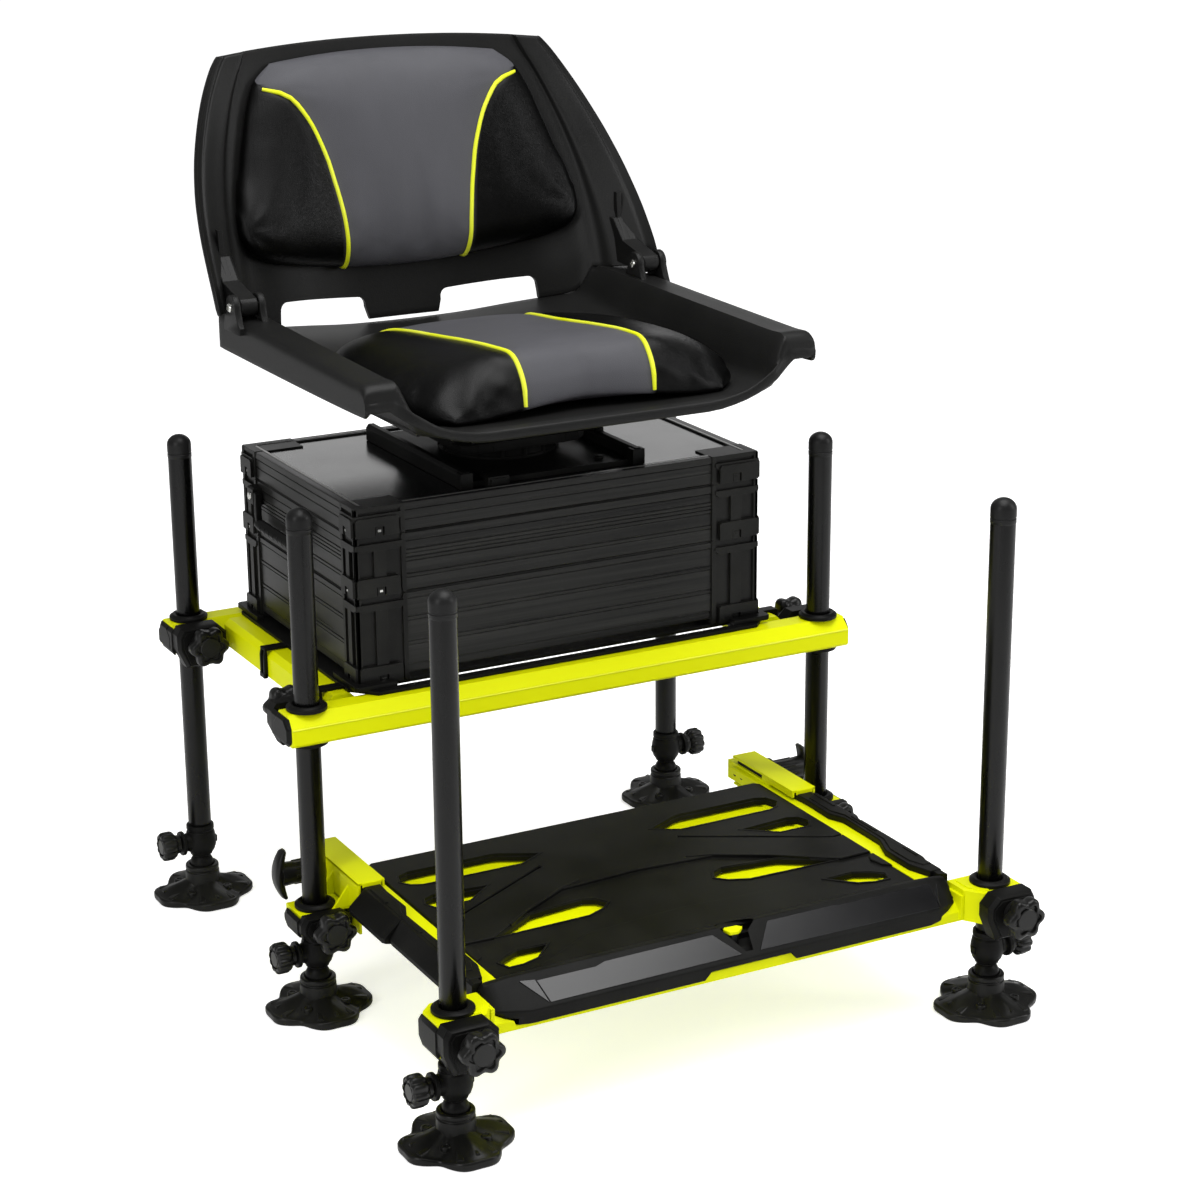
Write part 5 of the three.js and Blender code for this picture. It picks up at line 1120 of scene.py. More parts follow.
# The four slots in the right half of the deck
SLOTS = (
    [(68, -44), (104, -25), (112, -23), (205, -23), (216, -28), (221, -42), (214, -52), (203, -57),
     (93, -58)],
    [(192, -203), (141, -171), (80, -164), (68, -170), (62, -182), (72, -192), (92, -200.5)],
    [(150, -92), (206, -87), (217, -92), (221, -104), (215, -116), (180, -115.5)],
    [(159, -240), (189, -238.6), (206, -247), (216, -256), (212, -268), (198, -268), (180, -262)],
)


def deck():
    form = Form()
    slots = list(SLOTS) + [mirrored_outline(slot) for slot in SLOTS]
    base = [(-DECK_HALF, -292), (DECK_HALF, -292), (DECK_HALF, DECK_REAR), (-DECK_HALF, DECK_REAR)]
    plate(form, base, slots, 130.3, 135.4, 0.6)
    near = [(-233.2, -205), (-197, -206), (-146, -170), (-87, -135.4), (0, -129.5), (87, -135.4),
            (146, -170), (197, -206), (233.2, -205)]
    far = [(233.2, -154), (221, -155.4), (204.4, -146.8), (79, -76), (81, -72.8), (205.4, -143.6),
           (221, -152.2), (233.2, -151), (233.2, 11), (228, 17.2)]
    rear_pad = near + far + mirrored_outline(far)
    inner_slots = [offset_outline(slot, 1.2) for slot in (SLOTS[0], SLOTS[2])]
    inner_slots += [mirrored_outline(slot) for slot in inner_slots]
    plate(form, rear_pad, inner_slots, 134, DECK_TOP, 0.9)
    front_pad = [(-184, -279), (-113, -238.5), (0, -229.5), (113, -238.5), (184, -279), (190, -292),
                 (-190, -292)]
    plate(form, front_pad, (), 134, 136.8, 0.8)
    for slot in slots:
        rim = offset_outline(slot, 3)
        level = DECK_TOP + 0.5 if max(y for _, y in slot) > -120 else 136.4
        plate(form, rim, [offset_outline(slot, 0.7)], 134.2, level, 0.3)
    for side in (-1, 1):
        fold = [(62, -122.6), (86, -131.6), (143, -164.8), (172, -186), (170, -189), (142, -168),
                (85.4, -134.6), (60, -126)]
        strip = fold if side > 0 else mirrored_outline(fold)
        plate(form, strip, (), 136, DECK_TOP + 0.9, 0.7)
        bead = [(234, -244), (226, -238), (222, -222), (228, -210), (234, -209)]
        plate(form, bead if side > 0 else mirrored_outline(bead), (), 134, 137.4, 0.8)
    return form


def front_section(back, middle_z, crest, nose_in, top, gone):
    """The moulding's section at one place: (y, z) points from its back edge round the nose."""
    return [(-272, 130.3), (back, 135.2), (back - 6, middle_z), (crest + 4, top - 0.5), (crest, top),
            (crest - 2.4, top - 0.7), (NOSE_Y + nose_in + 1.2, NOSE_Z + 0.9 - gone),
            (NOSE_Y + nose_in, NOSE_Z - 0.7 - gone), (NOSE_Y + nose_in + 1.2, SKIRT + 0.8),
            (NOSE_Y + nose_in + 2.2, SKIRT), (-328.4 + nose_in * 0.4, SKIRT), (-328.4 + nose_in * 0.4, 113),
            (-316.5, 124.4), (-299.2, 124.4), (-299.2, 130.3)]


def front_moulding():
    """The faceted nose of the deck, its ends drawn back, with a V notch and a stepped skirt."""
    form = Form()
    half = [(0, -278, 137.6, CREST_Y, 0, CREST_Z, 0), (148, -280, 137.8, CREST_Y, 0, CREST_Z, 0),
            (222, -282, 137.8, CREST_Y, 0, CREST_Z, 0), (246, -285, 138.4, CREST_Y - 2, 8, CREST_Z, -1),
            (256, -288, 138, CREST_Y - 1, 13, CREST_Z - 1.6, -0.5),
            (259.6, -291, 133.5, CREST_Y - 2, 17, CREST_Z - 7, 1)]
    rings = []
    for side, rows in ((-1, half[:0:-1]), (1, half)):
        for x, *shape in rows:
            rings.append([(side * x, y, z) for y, z in front_section(*shape)])
    loft(form, rings)
    cuts = Form()
    wedge = [(NOTCH_X + x, y) for x, y in ((-31, -276), (33, -286), (31, CREST_Y), (9, NOSE_Y - 3),
                                           (-7, NOSE_Y - 3), (-27, CREST_Y))]
    floor_wedge = [(mix(NOTCH_X, x, 0.3), y) for x, y in wedge]
    lows = {-276: 138.5, -286: 138, CREST_Y: 133, NOSE_Y - 3: 122.6}
    points = [(x, y, lows[y]) for x, y in floor_wedge] + [(x, y, 150) for x, y in wedge]
    sides = [(k, (k + 1) % 6, 6 + (k + 1) % 6, 6 + k) for k in range(6)]
    cuts.shell(points, [(0, 1, 2, 5), (2, 3, 4, 5), tuple(range(6, 12))] + sides)
    prism(cuts, "y", [(NOTCH_X + x, z) for x, z in ((-58, 100), (-45, 115.5), (44, 115.5), (57, 100))],
          -340, -326)
    return form, cuts


def face_point(x, down, proud):
    """A point on the moulding's sloping face: down is 0 at the crest and 1 at the nose."""
    y, z = mix(CREST_Y - 2.4, NOSE_Y + 1.2, down), mix(CREST_Z - 0.7, NOSE_Z + 0.9, down)
    return (x, y - 0.52 * proud, z + 0.86 * proud)


def grip_panels():
    """Smooth panels laid on the sloping face, either side of the notch, and the facet at each outer end."""
    form = Form()
    for corners in (((-15, 0.13), (5, 0.9), (-201, 0.94), (-205, 0.24), (-143, 0.24), (-132, 0.15)),
                    ((47, 0.1), (25, 0.9), (232, 0.94), (236, 0.13), (128, 0.13), (122, 0.1))):
        loft(form, [[face_point(x, down, proud) for x, down in corners] for proud in (-1.2, 0.8)])
    for tip, near, low in ((-222, -206, -202), (244, 237, 233)):
        facet = [(tip, 0.14, 0.9), (near, 0.2, 0.6), (low, 0.95, 0.6)]
        loft(form, [[face_point(x, down, -1.2) for x, down, _ in facet],
                    [face_point(*corner) for corner in facet]])
    return form


def slide_rail():
    """The right slide rail: a bar with a jogged top plate and a sloping, stepped wing."""
    form = Form()
    prism(form, "y", [(254, 116.4), (RAIL_OUT, 116.4), (RAIL_OUT, 140), (262, 142), (254, 142)], -297, 76)
    prism(form, "y", rectangle((240.6, 262), (117, 138.6)), 4, 92, 1)
    for y, z in ((77, 126.5), (63, 127)):
        rod(form, "x", 3.6, 240.3, 242, (y, z), 24)
    top = [(263.6, 75), (243, 75), (243, -20), (246, -66), (245, -108), (253, -127), (251.6, -194),
           (241.6, -220), (241.6, -262), (250, -288), (263.6, -288)]
    plate(form, top, (), 136, 143, 1.2)
    ridge = [(262, -52), (250, -62), (249, -104), (256, -122), (255.4, -196), (246, -222), (246, -256),
             (252, -272), (262, -272)]
    plate(form, ridge, (), 141, 144.2, 1.0)
    for from_y, to_y in ((-96, -58), (-176, -130), (-250, -226)):
        prism(form, "y", [(258, 143.6), (258.6, 145.2), (261, 145.2), (261.6, 143.6)], from_y, to_y)
    for reach, front, rear in ((283, -137, -50), (277, -258, -137.4)):
        outline = [(262, 117), (reach - 1, 121), (reach, 122.5), (reach, 126.4), (reach - 1.4, 128.4),
                   (264.6, 143.6), (259, 144), (256, 141)]
        slim = [(mix(258, u, 0.92), mix(130, v, 0.95)) for u, v in outline]
        eased_bar(form, "y", slim, outline, front, rear, 5)
    prism(form, "y", rectangle((243, 262.6), (118.4, 138)), 74, 75.4)
    return form


def cad_outline(side, outline):
    return [(side * x, y) for x, y in outline]


def plate_frame():
    """The lime frame: front rail, corner blocks, side members with edge strips, gussets, cross members
    and the small flat hexagon seen in the notch, on a black stem."""
    form = Form()
    prism(form, "x", [(-328, 102), (-298, 102), (-298, 124), (-316, 124), (-328, 112)], -281, 281)
    for side in (-1, 1):
        block = [(262, -328), (274, -346), (322, -346), (322, -312), (310, -300), (262, -300)]
        prism(form, "z", cad_outline(side, block), 102, 135)
        low = [(268, -326), (277, -341.6), (284, -341.6), (284, -304), (268, -304)]
        prism(form, "z", cad_outline(side, low), 134, 136.2)
        rib = [(258, -330.4), (262, -330.4), (262, -300), (258, -300)]
        prism(form, "z", cad_outline(side, rib), 104, 130)
        slab(form, span(side, MEMBER_IN, MEMBER_OUT), (-299, 17), (102, 130))
        plate(form, cad_outline(side, [(234.5, 76), (253, 76), (253, -20), (253, -297), (234.5, -297)]), (),
              129, 136, 0.8)
        gusset = [(216, -300), (216, -262), (196, -299)]
        prism(form, "z", cad_outline(side, gusset), 103, 124)
        for y in (-250, -170, -90, -10):
            slab(form, span(side, 213.2, 216), (y - 14, y + 14), (110, 122))
    for rear, front in ((-13.6, -127.4), (-159, -272.7)):
        slab(form, (-215, 215), (front, rear), (124, 128))
        for y in (front + 1.5, rear - 1.5):
            slab(form, (-215, 215), (y - 1.5, y + 1.5), (118, 125))
    hexagon = [(1, -300), (4, -297), (17, -298), (21, -303), (17, -307), (12, -311), (3, -310)]
    stem = [(mix(11, x, 0.6), mix(-304, y, 0.6)) for x, y in hexagon]
    prism(form, "z", hexagon, 136, 139.4)
    prism(form, "z", stem, 122, 136.4, 1)
    return form


def sleeve_bracket():
    """The right sleeve: roof, side and shelf round the slide rail, and the arm that the leg clamp grips."""
    form = Form()
    web = RAIL_OUT + 0.4
    slide = (SLEEVE_FRONT, SLEEVE_REAR)
    roof = [(SLEEVE_IN, SLEEVE_REAR), (SLEEVE_IN, SLEEVE_FRONT), (SLEEVE_OUT, SLEEVE_FRONT),
            (SLEEVE_OUT, SLEEVE_REAR)]
    prism(form, "z", roof, 144.3, 147.3)
    slab(form, (web, SLEEVE_OUT), slide, (SLEEVE_BOTTOM, 147))
    slab(form, (241, SLEEVE_OUT), slide, (112.6, 115.6))
    lip = [(SLEEVE_IN, 144.3), (SLEEVE_IN, 139), (242.2, 139), (242.2, 144.3)]
    prism(form, "y", lip, SLEEVE_FRONT, 18)
    slab(form, (244, 264), (SLEEVE_FRONT - 1.6, SLEEVE_FRONT + 0.4), (141.8, 147))
    arm = [(web, -ARM_HALF), (276, -ARM_HALF), (ARM_OUT, -ARM_HALF), (ARM_OUT, ARM_HALF), (286, ARM_HALF),
           (269, 60), (web, SLEEVE_REAR)]
    prism(form, "z", arm, SLEEVE_BOTTOM, SLEEVE_BOTTOM + 3)
    slab(form, (web, ARM_OUT), (-ARM_HALF, ARM_HALF), (SLEEVE_BOTTOM + 1, SLEEVE_TOP))
    cheek = [(268, 92), (288, 92), (288, 112), (268, 138)]
    for y in (-ARM_HALF, ARM_HALF - 3):
        prism(form, "y", cheek, y, y + 3)
    rod(form, "x", 13, 264, 268.6, (LOCK_Y, LOCK_Z), 40)
    return form


def wing_knob():
    """The right lock: stem, washer and a curved bar with thumb hollows."""
    form = Form()
    start = 268.9
    turned(form, "x", [(0, start), (16, start), (16.4, start + 0.6), (16.4, start + 3.4), (15.6, start + 4),
                       (12.6, start + 4.2), (12, start + 6), (11.4, start + 24), (12.4, start + 40),
                       (12, start + 44), (0, start + 44)], (LOCK_Y, LOCK_Z), 48)
    for turn in turns(10):
        rod(form, "x", 1.5, start + 6, start + 30, polar(11.2, turn, (LOCK_Y, LOCK_Z)), 10)
    rings = []
    for k in range(25):
        share = 2 * k / 24 - 1
        z = LOCK_Z + share * 27
        x = start + 44 + 2.5 - 7 * share * share
        thick = 9.6 * (1 - 0.5 * abs(share) ** 2.4) * (1 if abs(share) < 0.99 else 0.5)
        wide = 17.4 * (1 - 0.28 * share * share) * (1 if abs(share) < 0.99 else 0.6)
        rings.append([(x + thick / 2 * math.copysign(abs(math.cos(t)) ** 0.6, math.cos(t)),
                       LOCK_Y + wide / 2 * math.copysign(abs(math.sin(t)) ** 0.6, math.sin(t)), z)
                      for t in turns(20)])
    loft(form, rings)
    return form


piece("deck_plate", deck(), [DECK_BLACK], "footplate", ["plate_deck"], bevel=0, sharp=18)
nose_form, nose_cuts = front_moulding()
piece("deck_nose", nose_form, [DECK_BLACK], "footplate", ["plate_deck"], bevel=0.6,
      cuts=nose_cuts)
piece("grip_panels", grip_panels(), [GRIP_GREY], "footplate", ["plate_deck"], bevel=0.3, steps=1, sharp=10)
piece("plate_rails", plate_frame(), [LIME, KNOB_BLACK], "footplate", ["plate_frame"],
      bevel=0.9)
BRACKET_CLAMP_DEPTH, KNOB_GAP = 13, 2
knob_shape = clamp_knob().placed((0, -ARM_HALF - BRACKET_CLAMP_DEPTH - KNOB_GAP,
                                  (SLEEVE_BOTTOM + SLEEVE_TOP) / 2))
bracket_block = clamp_block(SLEEVE_BOTTOM, SLEEVE_TOP, ARM_HALF, BRACKET_CLAMP_DEPTH, 6)
for side_name, side in (("left", -1), ("right", 1)):
    mirror = (side, 1, 1)
    piece("slide_bar_" + side_name, slide_rail().placed(mirror=mirror), [DECK_BLACK, LIME], "footplate",
          ["plate_slide_rail_" + side_name], bevel=0.4)
    piece("sleeve_" + side_name, sleeve_bracket().placed(mirror=mirror), [LIME, STEEL], "plate_carrier",
          ["plate_bracket_" + side_name], bevel=0.7)
    at = (side * LEG_X, 0, 0)
    piece("sleeve_clamp_" + side_name, bracket_block.placed(at, mirror), [MOULDED], "plate_carrier",
          ["bracket_clamp_" + side_name], bevel=0.8)
    piece("sleeve_grip_" + side_name, knob_shape.placed(at, mirror), [KNOB_BLACK],
          "bracket_lock_" + side_name, ["bracket_knob_" + side_name], bevel=0)
    piece("wing_grip_" + side_name, wing_knob().placed(mirror=mirror), [KNOB_BLACK],
          "slide_lock_" + side_name, ["slide_lock_knob_" + side_name], bevel=0)

# Seat shell
PAN_FRONT, PAN_REAR, PAN_HALF, PAN_INNER, WALL_FOOT = -66, 400, 250, 215, 193
ARM_TOP, ARM_RISE = 651, 7
# The front end of an arm, row by row: how far forward it lies and how high
ARM_END = ((-60, 636), (-58.5, 645.5), (-47, 652.5))
FLOOR_FRONT, FLOOR_MIDDLE, FLOOR_REAR, SHELL_SKIN, LIP = 597, 588, 609, 6, 10
HINGE_Y, HINGE_Z, HINGE_X, TONGUE_HALF = 269, 671, 238, 9.5
PAN_ROWS = (0, 0.02, 0.05, 0.1, 0.21, 0.33, 0.45, 0.57, 0.69, 0.8, 0.91, 1)
FLOOR_SHARES = (0, 0.311, 0.622, 0.855, 1)
FRONT_RISES = (0, 0, 0.01, 0.05, 0.2, 0.6, 1)
REAR_RISES = (0, 0.02, 0.13, 0.25, 0.38, 0.68, 1)
# How far out the floor's own columns lie, from the middle to the inner edge of an arm
PAN_REACHES = [share * WALL_FOOT for share in FLOOR_SHARES] + [mix(WALL_FOOT, PAN_INNER, 0.45), PAN_INNER]
# Past the inner edge of an arm: reach outside, reach inside, and how far down the skirt each lies
ARM_COLUMNS = ((222, 226, 0, 0.15), (236, 238, 0, 0.15), (244.4, 242.6, 0.03, 0.17),
               (248.6, 244.6, 0.11, 0.24), (250, 245, 0.27, 0.36), (250, 245, 0.62, 0.66), (250, 245, 1, 1))


def rolled_skin(form, upper, lower, bulge):
    """A closed shell between two grids whose free edge is rolled round by the bulge."""
    rows, columns = upper.shape[:2]
    edge = [(0, i) for i in range(columns)] + [(j, columns - 1) for j in range(1, rows)]
    edge += [(rows - 1, i) for i in range(columns - 2, -1, -1)] + [(j, 0) for j in range(rows - 2, 0, -1)]
    inner = [(min(max(j, 1), rows - 2), min(max(i, 1), columns - 2)) for j, i in edge]
    points, faces = facing_grids(upper, lower)
    count = rows * columns
    rings = [[j * columns + i for j, i in edge]]
    for step in range(1, 6):
        turn = math.pi * step / 6
        ring = []
        for (j, i), (nj, ni) in zip(edge, inner):
            a, b = upper[j, i], lower[j, i]
            outward = (a - upper[nj, ni]) + (b - lower[nj, ni])
            thick = (b - a) / max(np.linalg.norm(b - a), 1e-6)
            outward = outward - thick * outward.dot(thick)
            outward = outward / max(np.linalg.norm(outward), 1e-6)
            ring.append(len(points))
            points.append((a + (b - a) * (1 - math.cos(turn)) / 2
                           + outward * bulge * math.sin(turn)).tolist())
        rings.append(ring)
    rings.append([count + j * columns + i for j, i in edge])
    for near, far in zip(rings, rings[1:]):
        for k in range(len(edge)):
            n = (k + 1) % len(edge)
            faces.append((near[k], far[k], far[n], near[n]))
    return form.shell(points, faces)


def pan_floor(share):
    """The height of the pan's middle from its front edge to its rear."""
    front = mix(FLOOR_FRONT, FLOOR_MIDDLE, smooth(bounded(share * 3)))
    return mix(front, FLOOR_REAR, smooth(bounded((share - 0.4) / 0.6)))


def arm_level(share):
    return ARM_TOP + ARM_RISE * share


def pan_bend(reach, share):
    """How far forward the pan's rear corners are drawn."""
    return 80 * (reach / PAN_HALF) ** 3 * share ** 2


def lip_level(reach):
    """The height of the rolled front lip, which climbs to the end of the arm."""
    return mix(FLOOR_FRONT - 2, ARM_END[0][1], bounded((reach - 140) / 80) ** 1.5)


def skirt(share):
    """How deep the outer side of an arm hangs."""
    return mix(27, 38, share ** 0.6)


def pan_columns():
    """The half pan's columns: reach above and below, rise at front and rear, drop above and below."""
    columns = [(reach, reach + (5 if reach >= WALL_FOOT else 0), front, rear, 0, 0.15)
               for reach, front, rear in zip(PAN_REACHES, FRONT_RISES, REAR_RISES)]
    return columns + [(above, below, 1, 1, drop, low) for above, below, drop, low in ARM_COLUMNS]


def pan_grid(is_upper):
    """The pan's upper or lower skin, rows from front to rear and columns from left to right."""
    half = pan_columns()
    across = [(-1, column) for column in half[:0:-1]] + [(1, column) for column in half]
    grid = np.zeros((len(PAN_ROWS), len(across), 3))
    for j, share in enumerate(PAN_ROWS):
        for i, (side, (above, below, front, rear, drop, low)) in enumerate(across):
            reach = above if is_upper else below
            on_arm = bounded((above - WALL_FOOT) / (PAN_INNER - WALL_FOOT))
            level_y = mix(PAN_FRONT, PAN_REAR, share)
            if j == 0:
                z = lip_level(above) - (drop * LIP if is_upper else LIP)
                grid[j, i] = side * reach, mix(level_y, ARM_END[0][0], on_arm), z
                continue
            arm_y, arm_z = ARM_END[j] if j < len(ARM_END) else (mix(-26, PAN_REAR, (share - 0.1) / 0.9),
                                                                arm_level(share))
            y = mix(level_y, arm_y, on_arm) - pan_bend(above, share)
            top = mix(pan_floor(share), arm_z, mix(front, rear, smooth(share)))
            if is_upper:
                grid[j, i] = side * reach, y, top - drop * (skirt(share) + arm_z - arm_level(share))
            else:
                depth = skirt(share) + arm_z - arm_level(share)
                under = top - max(SHELL_SKIN, low * depth * on_arm)
                grid[j, i] = side * reach, y + 4 * on_arm * (j == 1), under
    return grid


def ear_outline(wide, reach):
    """An upright ear: a broad foot that runs up to a round head about the hinge."""
    outline = [(HINGE_Y - wide, 645), (HINGE_Y - wide, 652), (HINGE_Y - reach - 4, 659)]
    outline += [polar(reach, math.radians(190 - 200 * k / 12), (HINGE_Y, HINGE_Z)) for k in range(13)]
    return outline + [(HINGE_Y + reach + 5, 659), (HINGE_Y + wide, 652), (HINGE_Y + wide, 645)]


def bolt_head(form, x, way):
    """A round bolt head with a sunk socket, on the hinge axis; way is the side that it faces."""
    profile = [(0, x + way * 1.0), (2.1, x + way * 1.0), (2.3, x + way * 2.7), (3.9, x + way * 2.5),
               (4.9, x + way * 1.3), (5, x - way * 1), (0, x - way * 1)]
    turned(form, "x", profile, (HINGE_Y, HINGE_Z), 24, 1)


def seat_pan():
    form = Form()
    rolled_skin(form, refined(pan_grid(True), 3, 4), refined(pan_grid(False), 3, 4), 1.7)
    for side in (-1, 1):
        middle = side * HINGE_X
        for end in (-1, 1):
            near, far = middle + end * (TONGUE_HALF + 1), middle + end * (TONGUE_HALF + 8)
            eased_bar(form, "x", ear_outline(20, 12.4), ear_outline(22, 13), *sorted((near, far)), 1)
            bolt_head(form, far, end)
        pin = [(0, middle - 11), (4, middle - 11), (4, middle + 11), (0, middle + 11)]
        turned(form, "x", pin, (HINGE_Y, HINGE_Z), 20, 1)
    pad = [rounded((-half, half), (92 + gap, 250 - gap), 12) for half, gap in ((82, 2), (84, 0), (84, 0))]
    tapered(form, "z", pad, [566, 568, 587])
    for k in range(-4, 5):
        slab(form, (k * 40 - 1.5, k * 40 + 1.5), (20, 340), (576, 588))
    for y in (20, 60, 290, 340):
        slab(form, (-160, 160), (y - 1.5, y + 1.5), (577, 589))
    return form


BACK_HALF, BACK_FOOT, BACK_SIDE_FOOT, BACK_TOP, SIDE_CREST = 262, 614, 661, 915, 905
BACK_CENTRE, BACK_LEAN = 401, 0.165
# The back's sides: heights, half widths there, and how far back each edge lies
SIDE_HEIGHTS = [mix(664, SIDE_CREST, share) for share in (0, 0.149, 0.315, 0.481, 0.647, 0.813, 0.938, 1)]
SIDE_HALVES = [BACK_HALF * share for share in (1, 1, 0.9885, 0.96, 0.912, 0.845, 0.782, 0.737)]
SIDE_DEPTHS = [mix(285, 438, share) for share in (0, 0.137, 0.327, 0.516, 0.686, 0.85, 0.954, 1)]
BACK_ROWS = (0, 0.1, 0.24, 0.4, 0.56, 0.72, 0.86, 0.96, 1)
# The half back's columns: share of the half width, how far up the side's foot it ends, and its raise
BACK_COLUMNS = ((0, 0, 0), (0.2, 0, 0), (0.4, 0.05, 0), (0.58, 0.15, 0), (0.74, 0.34, 0), (0.8, 0.93, 0),
                (0.832, 0.94, 0), (0.85, 0.96, 5.4), (0.905, 1, 5.8), (0.962, 1, 5.4), (0.972, 1, 3.2),
                (0.984, 1, 3.4), (1, 1, 4.4))


def back_half(z):
    """Half the back's width at a height."""
    return float(np.interp(z, SIDE_HEIGHTS, SIDE_HALVES))


def back_depth(x, z):
    """How far back the dished shell lies at a place on it."""
    centre = BACK_CENTRE + BACK_LEAN * (z - BACK_FOOT)
    return mix(centre, float(np.interp(z, SIDE_HEIGHTS, SIDE_DEPTHS)), bounded(abs(x) / back_half(z)) ** 3)


def back_grid(is_front):
    """The back's front or rear skin, rows from foot to crest and columns from left to right."""
    across = [(-1, column) for column in BACK_COLUMNS[:0:-1]] + [(1, column) for column in BACK_COLUMNS]
    grid = np.zeros((len(BACK_ROWS), len(across), 3))
    for j, share in enumerate(BACK_ROWS):
        for i, (side, (out, foot_share, lift)) in enumerate(across):
            foot = mix(BACK_FOOT, BACK_SIDE_FOOT, foot_share)
            crest = mix(BACK_TOP, SIDE_CREST, out ** 2)
            z = mix(foot, crest, share)
            x = out * back_half(z)
            grid[j, i] = side * x, back_depth(x, z) + (-lift if is_front else SHELL_SKIN), z
    return grid


def window(side):
    """The cutter of one hand slot: open below, with round upper corners."""
    outline = [polar(9, (quarter + k / 6) * math.pi / 2, centre)
               for *centre, quarter in ((147, 636, 0), (55, 629, 1)) for k in range(7)]
    outline += [(46, 626), (42, 612), (42, 600), (158, 600), (157, 626)]
    return [(side * x, z) for x, z in outline]


def seat_back():
    form = Form()
    rolled_skin(form, refined(back_grid(True), 4, 5), refined(back_grid(False), 4, 5), 1.8)
    cuts = Form()
    for side in (-1, 1):
        prism(cuts, "y", window(side), 300, 460)
    return form, cuts


def back_tongues():
    """The two hinge tongues that carry the border strips down to the hinge pins, and a rib behind each."""
    form = Form()
    for side in (-1, 1):
        middle = side * HINGE_X
        foot = back_depth(HINGE_X, BACK_SIDE_FOOT + 11)
        upper = back_depth(HINGE_X, 712)
        outline = [(upper + 3, 712), (foot + 10, 690), (foot + 4, 664)]
        outline += [polar(11, math.radians(-60 - 170 * k / 8), (HINGE_Y, HINGE_Z)) for k in range(9)]
        outline += [(foot - 9, 690), (upper - 6.2, 712)]
        slim = [(mix(HINGE_Y + 5, u, 0.95), mix(683, v, 0.97)) for u, v in outline]
        eased_bar(form, "x", slim, outline, middle - TONGUE_HALF, middle + TONGUE_HALF, 1.2)
        rib = [(foot - 4, 676), (foot - 9, 690), (upper - 7.4, 712), (upper - 5, 740), (upper + 2, 740),
               (upper + 2, 690)]
        prism(form, "x", rib, middle - 3, middle + 3)
    return form


piece("seat_shell", seat_pan(), [SHELL_GREY, STEEL], "seat", ["seat_pan"], bevel=0)
back_form, back_cuts = seat_back()
piece("back_shell", back_form, [SHELL_GREY], "backrest", ["seat_back"], bevel=0, cuts=back_cuts)
piece("back_tongues", back_tongues(), [SHELL_GREY], "backrest", ["seat_back"], bevel=0.7)


# Cushions
def eased(share, power=2.2):
    """How much of its height a pad has at a share of its rounding."""
    share = bounded(share)
    return (1 - (1 - share) ** power) ** (1 / power)


FILLING_PRESSURE, FILLING_STEPS = 4.0, 20
PIPING_RADIUS, PIPING_TIP = 2.5, 1.9
CHANNEL_WIDTH, CHANNEL_DEPTH = 5, 3.2


class Pad:
    """A two-tone pad: half width, seam and height along it, and the surface that it rests on.

    rounds are how far in the outer sides, the start, its corners and the end are rounded, and
    seam_end is the share of the length where the seams stop."""

    def __init__(self, length, halves, seams, heights, rounds, base, seam_end=1.0):
        self.length = length
        self.halves, self.seams, self.heights = halves, seams, heights
        self.side_round, self.start_round, self.corner_round, self.end_round = rounds
        self.base = base
        self.seam_end = seam_end
        self.inner, self.outer, self.rows = 9, 12, 40

    def at(self, values, v):
        """The value at a share of the length, from evenly spaced ones."""
        return float(monotone(np.array(values), np.array([v * (len(values) - 1)]))[0])

    def grids(self):
        """The top and the underside, rows along and columns across, with a column on each seam."""
        half = self.inner + self.outer
        tops = np.zeros((self.rows + 1, half * 2 + 1, 3))
        unders = np.zeros_like(tops)
        for j in range(self.rows + 1):
            t = j / self.rows
            v = t - 0.8 * math.sin(2 * math.pi * t) / (2 * math.pi)
            reach, height = self.at(self.halves, v), self.at(self.heights, v)
            seam = min(self.at(self.seams, v), reach - 4)
            end = eased((1 - v) * self.length / self.end_round)
            for i in range(-half, half + 1):
                k = abs(i)
                x = seam * k / self.inner
                if k > self.inner:
                    x = mix(seam, reach, 1 - (1 - (k - self.inner) / self.outer) ** 1.5)
                start_round = mix(self.start_round, self.corner_round,
                                  smooth(bounded((x - seam) / (reach - seam))))
                ends = end * eased(v * self.length / start_round)
                sides = eased((reach - x) / self.side_round, 1.8)
                channel = math.exp(-((x - seam) / CHANNEL_WIDTH) ** 2) * CHANNEL_DEPTH * ends * sides
                lift = 4 + (height - 4) * ends * sides - channel
                rim = k == half or j in (0, self.rows)
                drawn = 1 - 3.0 / reach
                side = 1 if i >= 0 else -1
                tops[j, i + half] = self.base(side * x, x / reach, v, 3 if rim else max(3.0, lift))
                unders[j, i + half] = self.base(side * x * drawn, x / reach, v * 0.985 + 0.0075, 0.4)
        return tops, unders


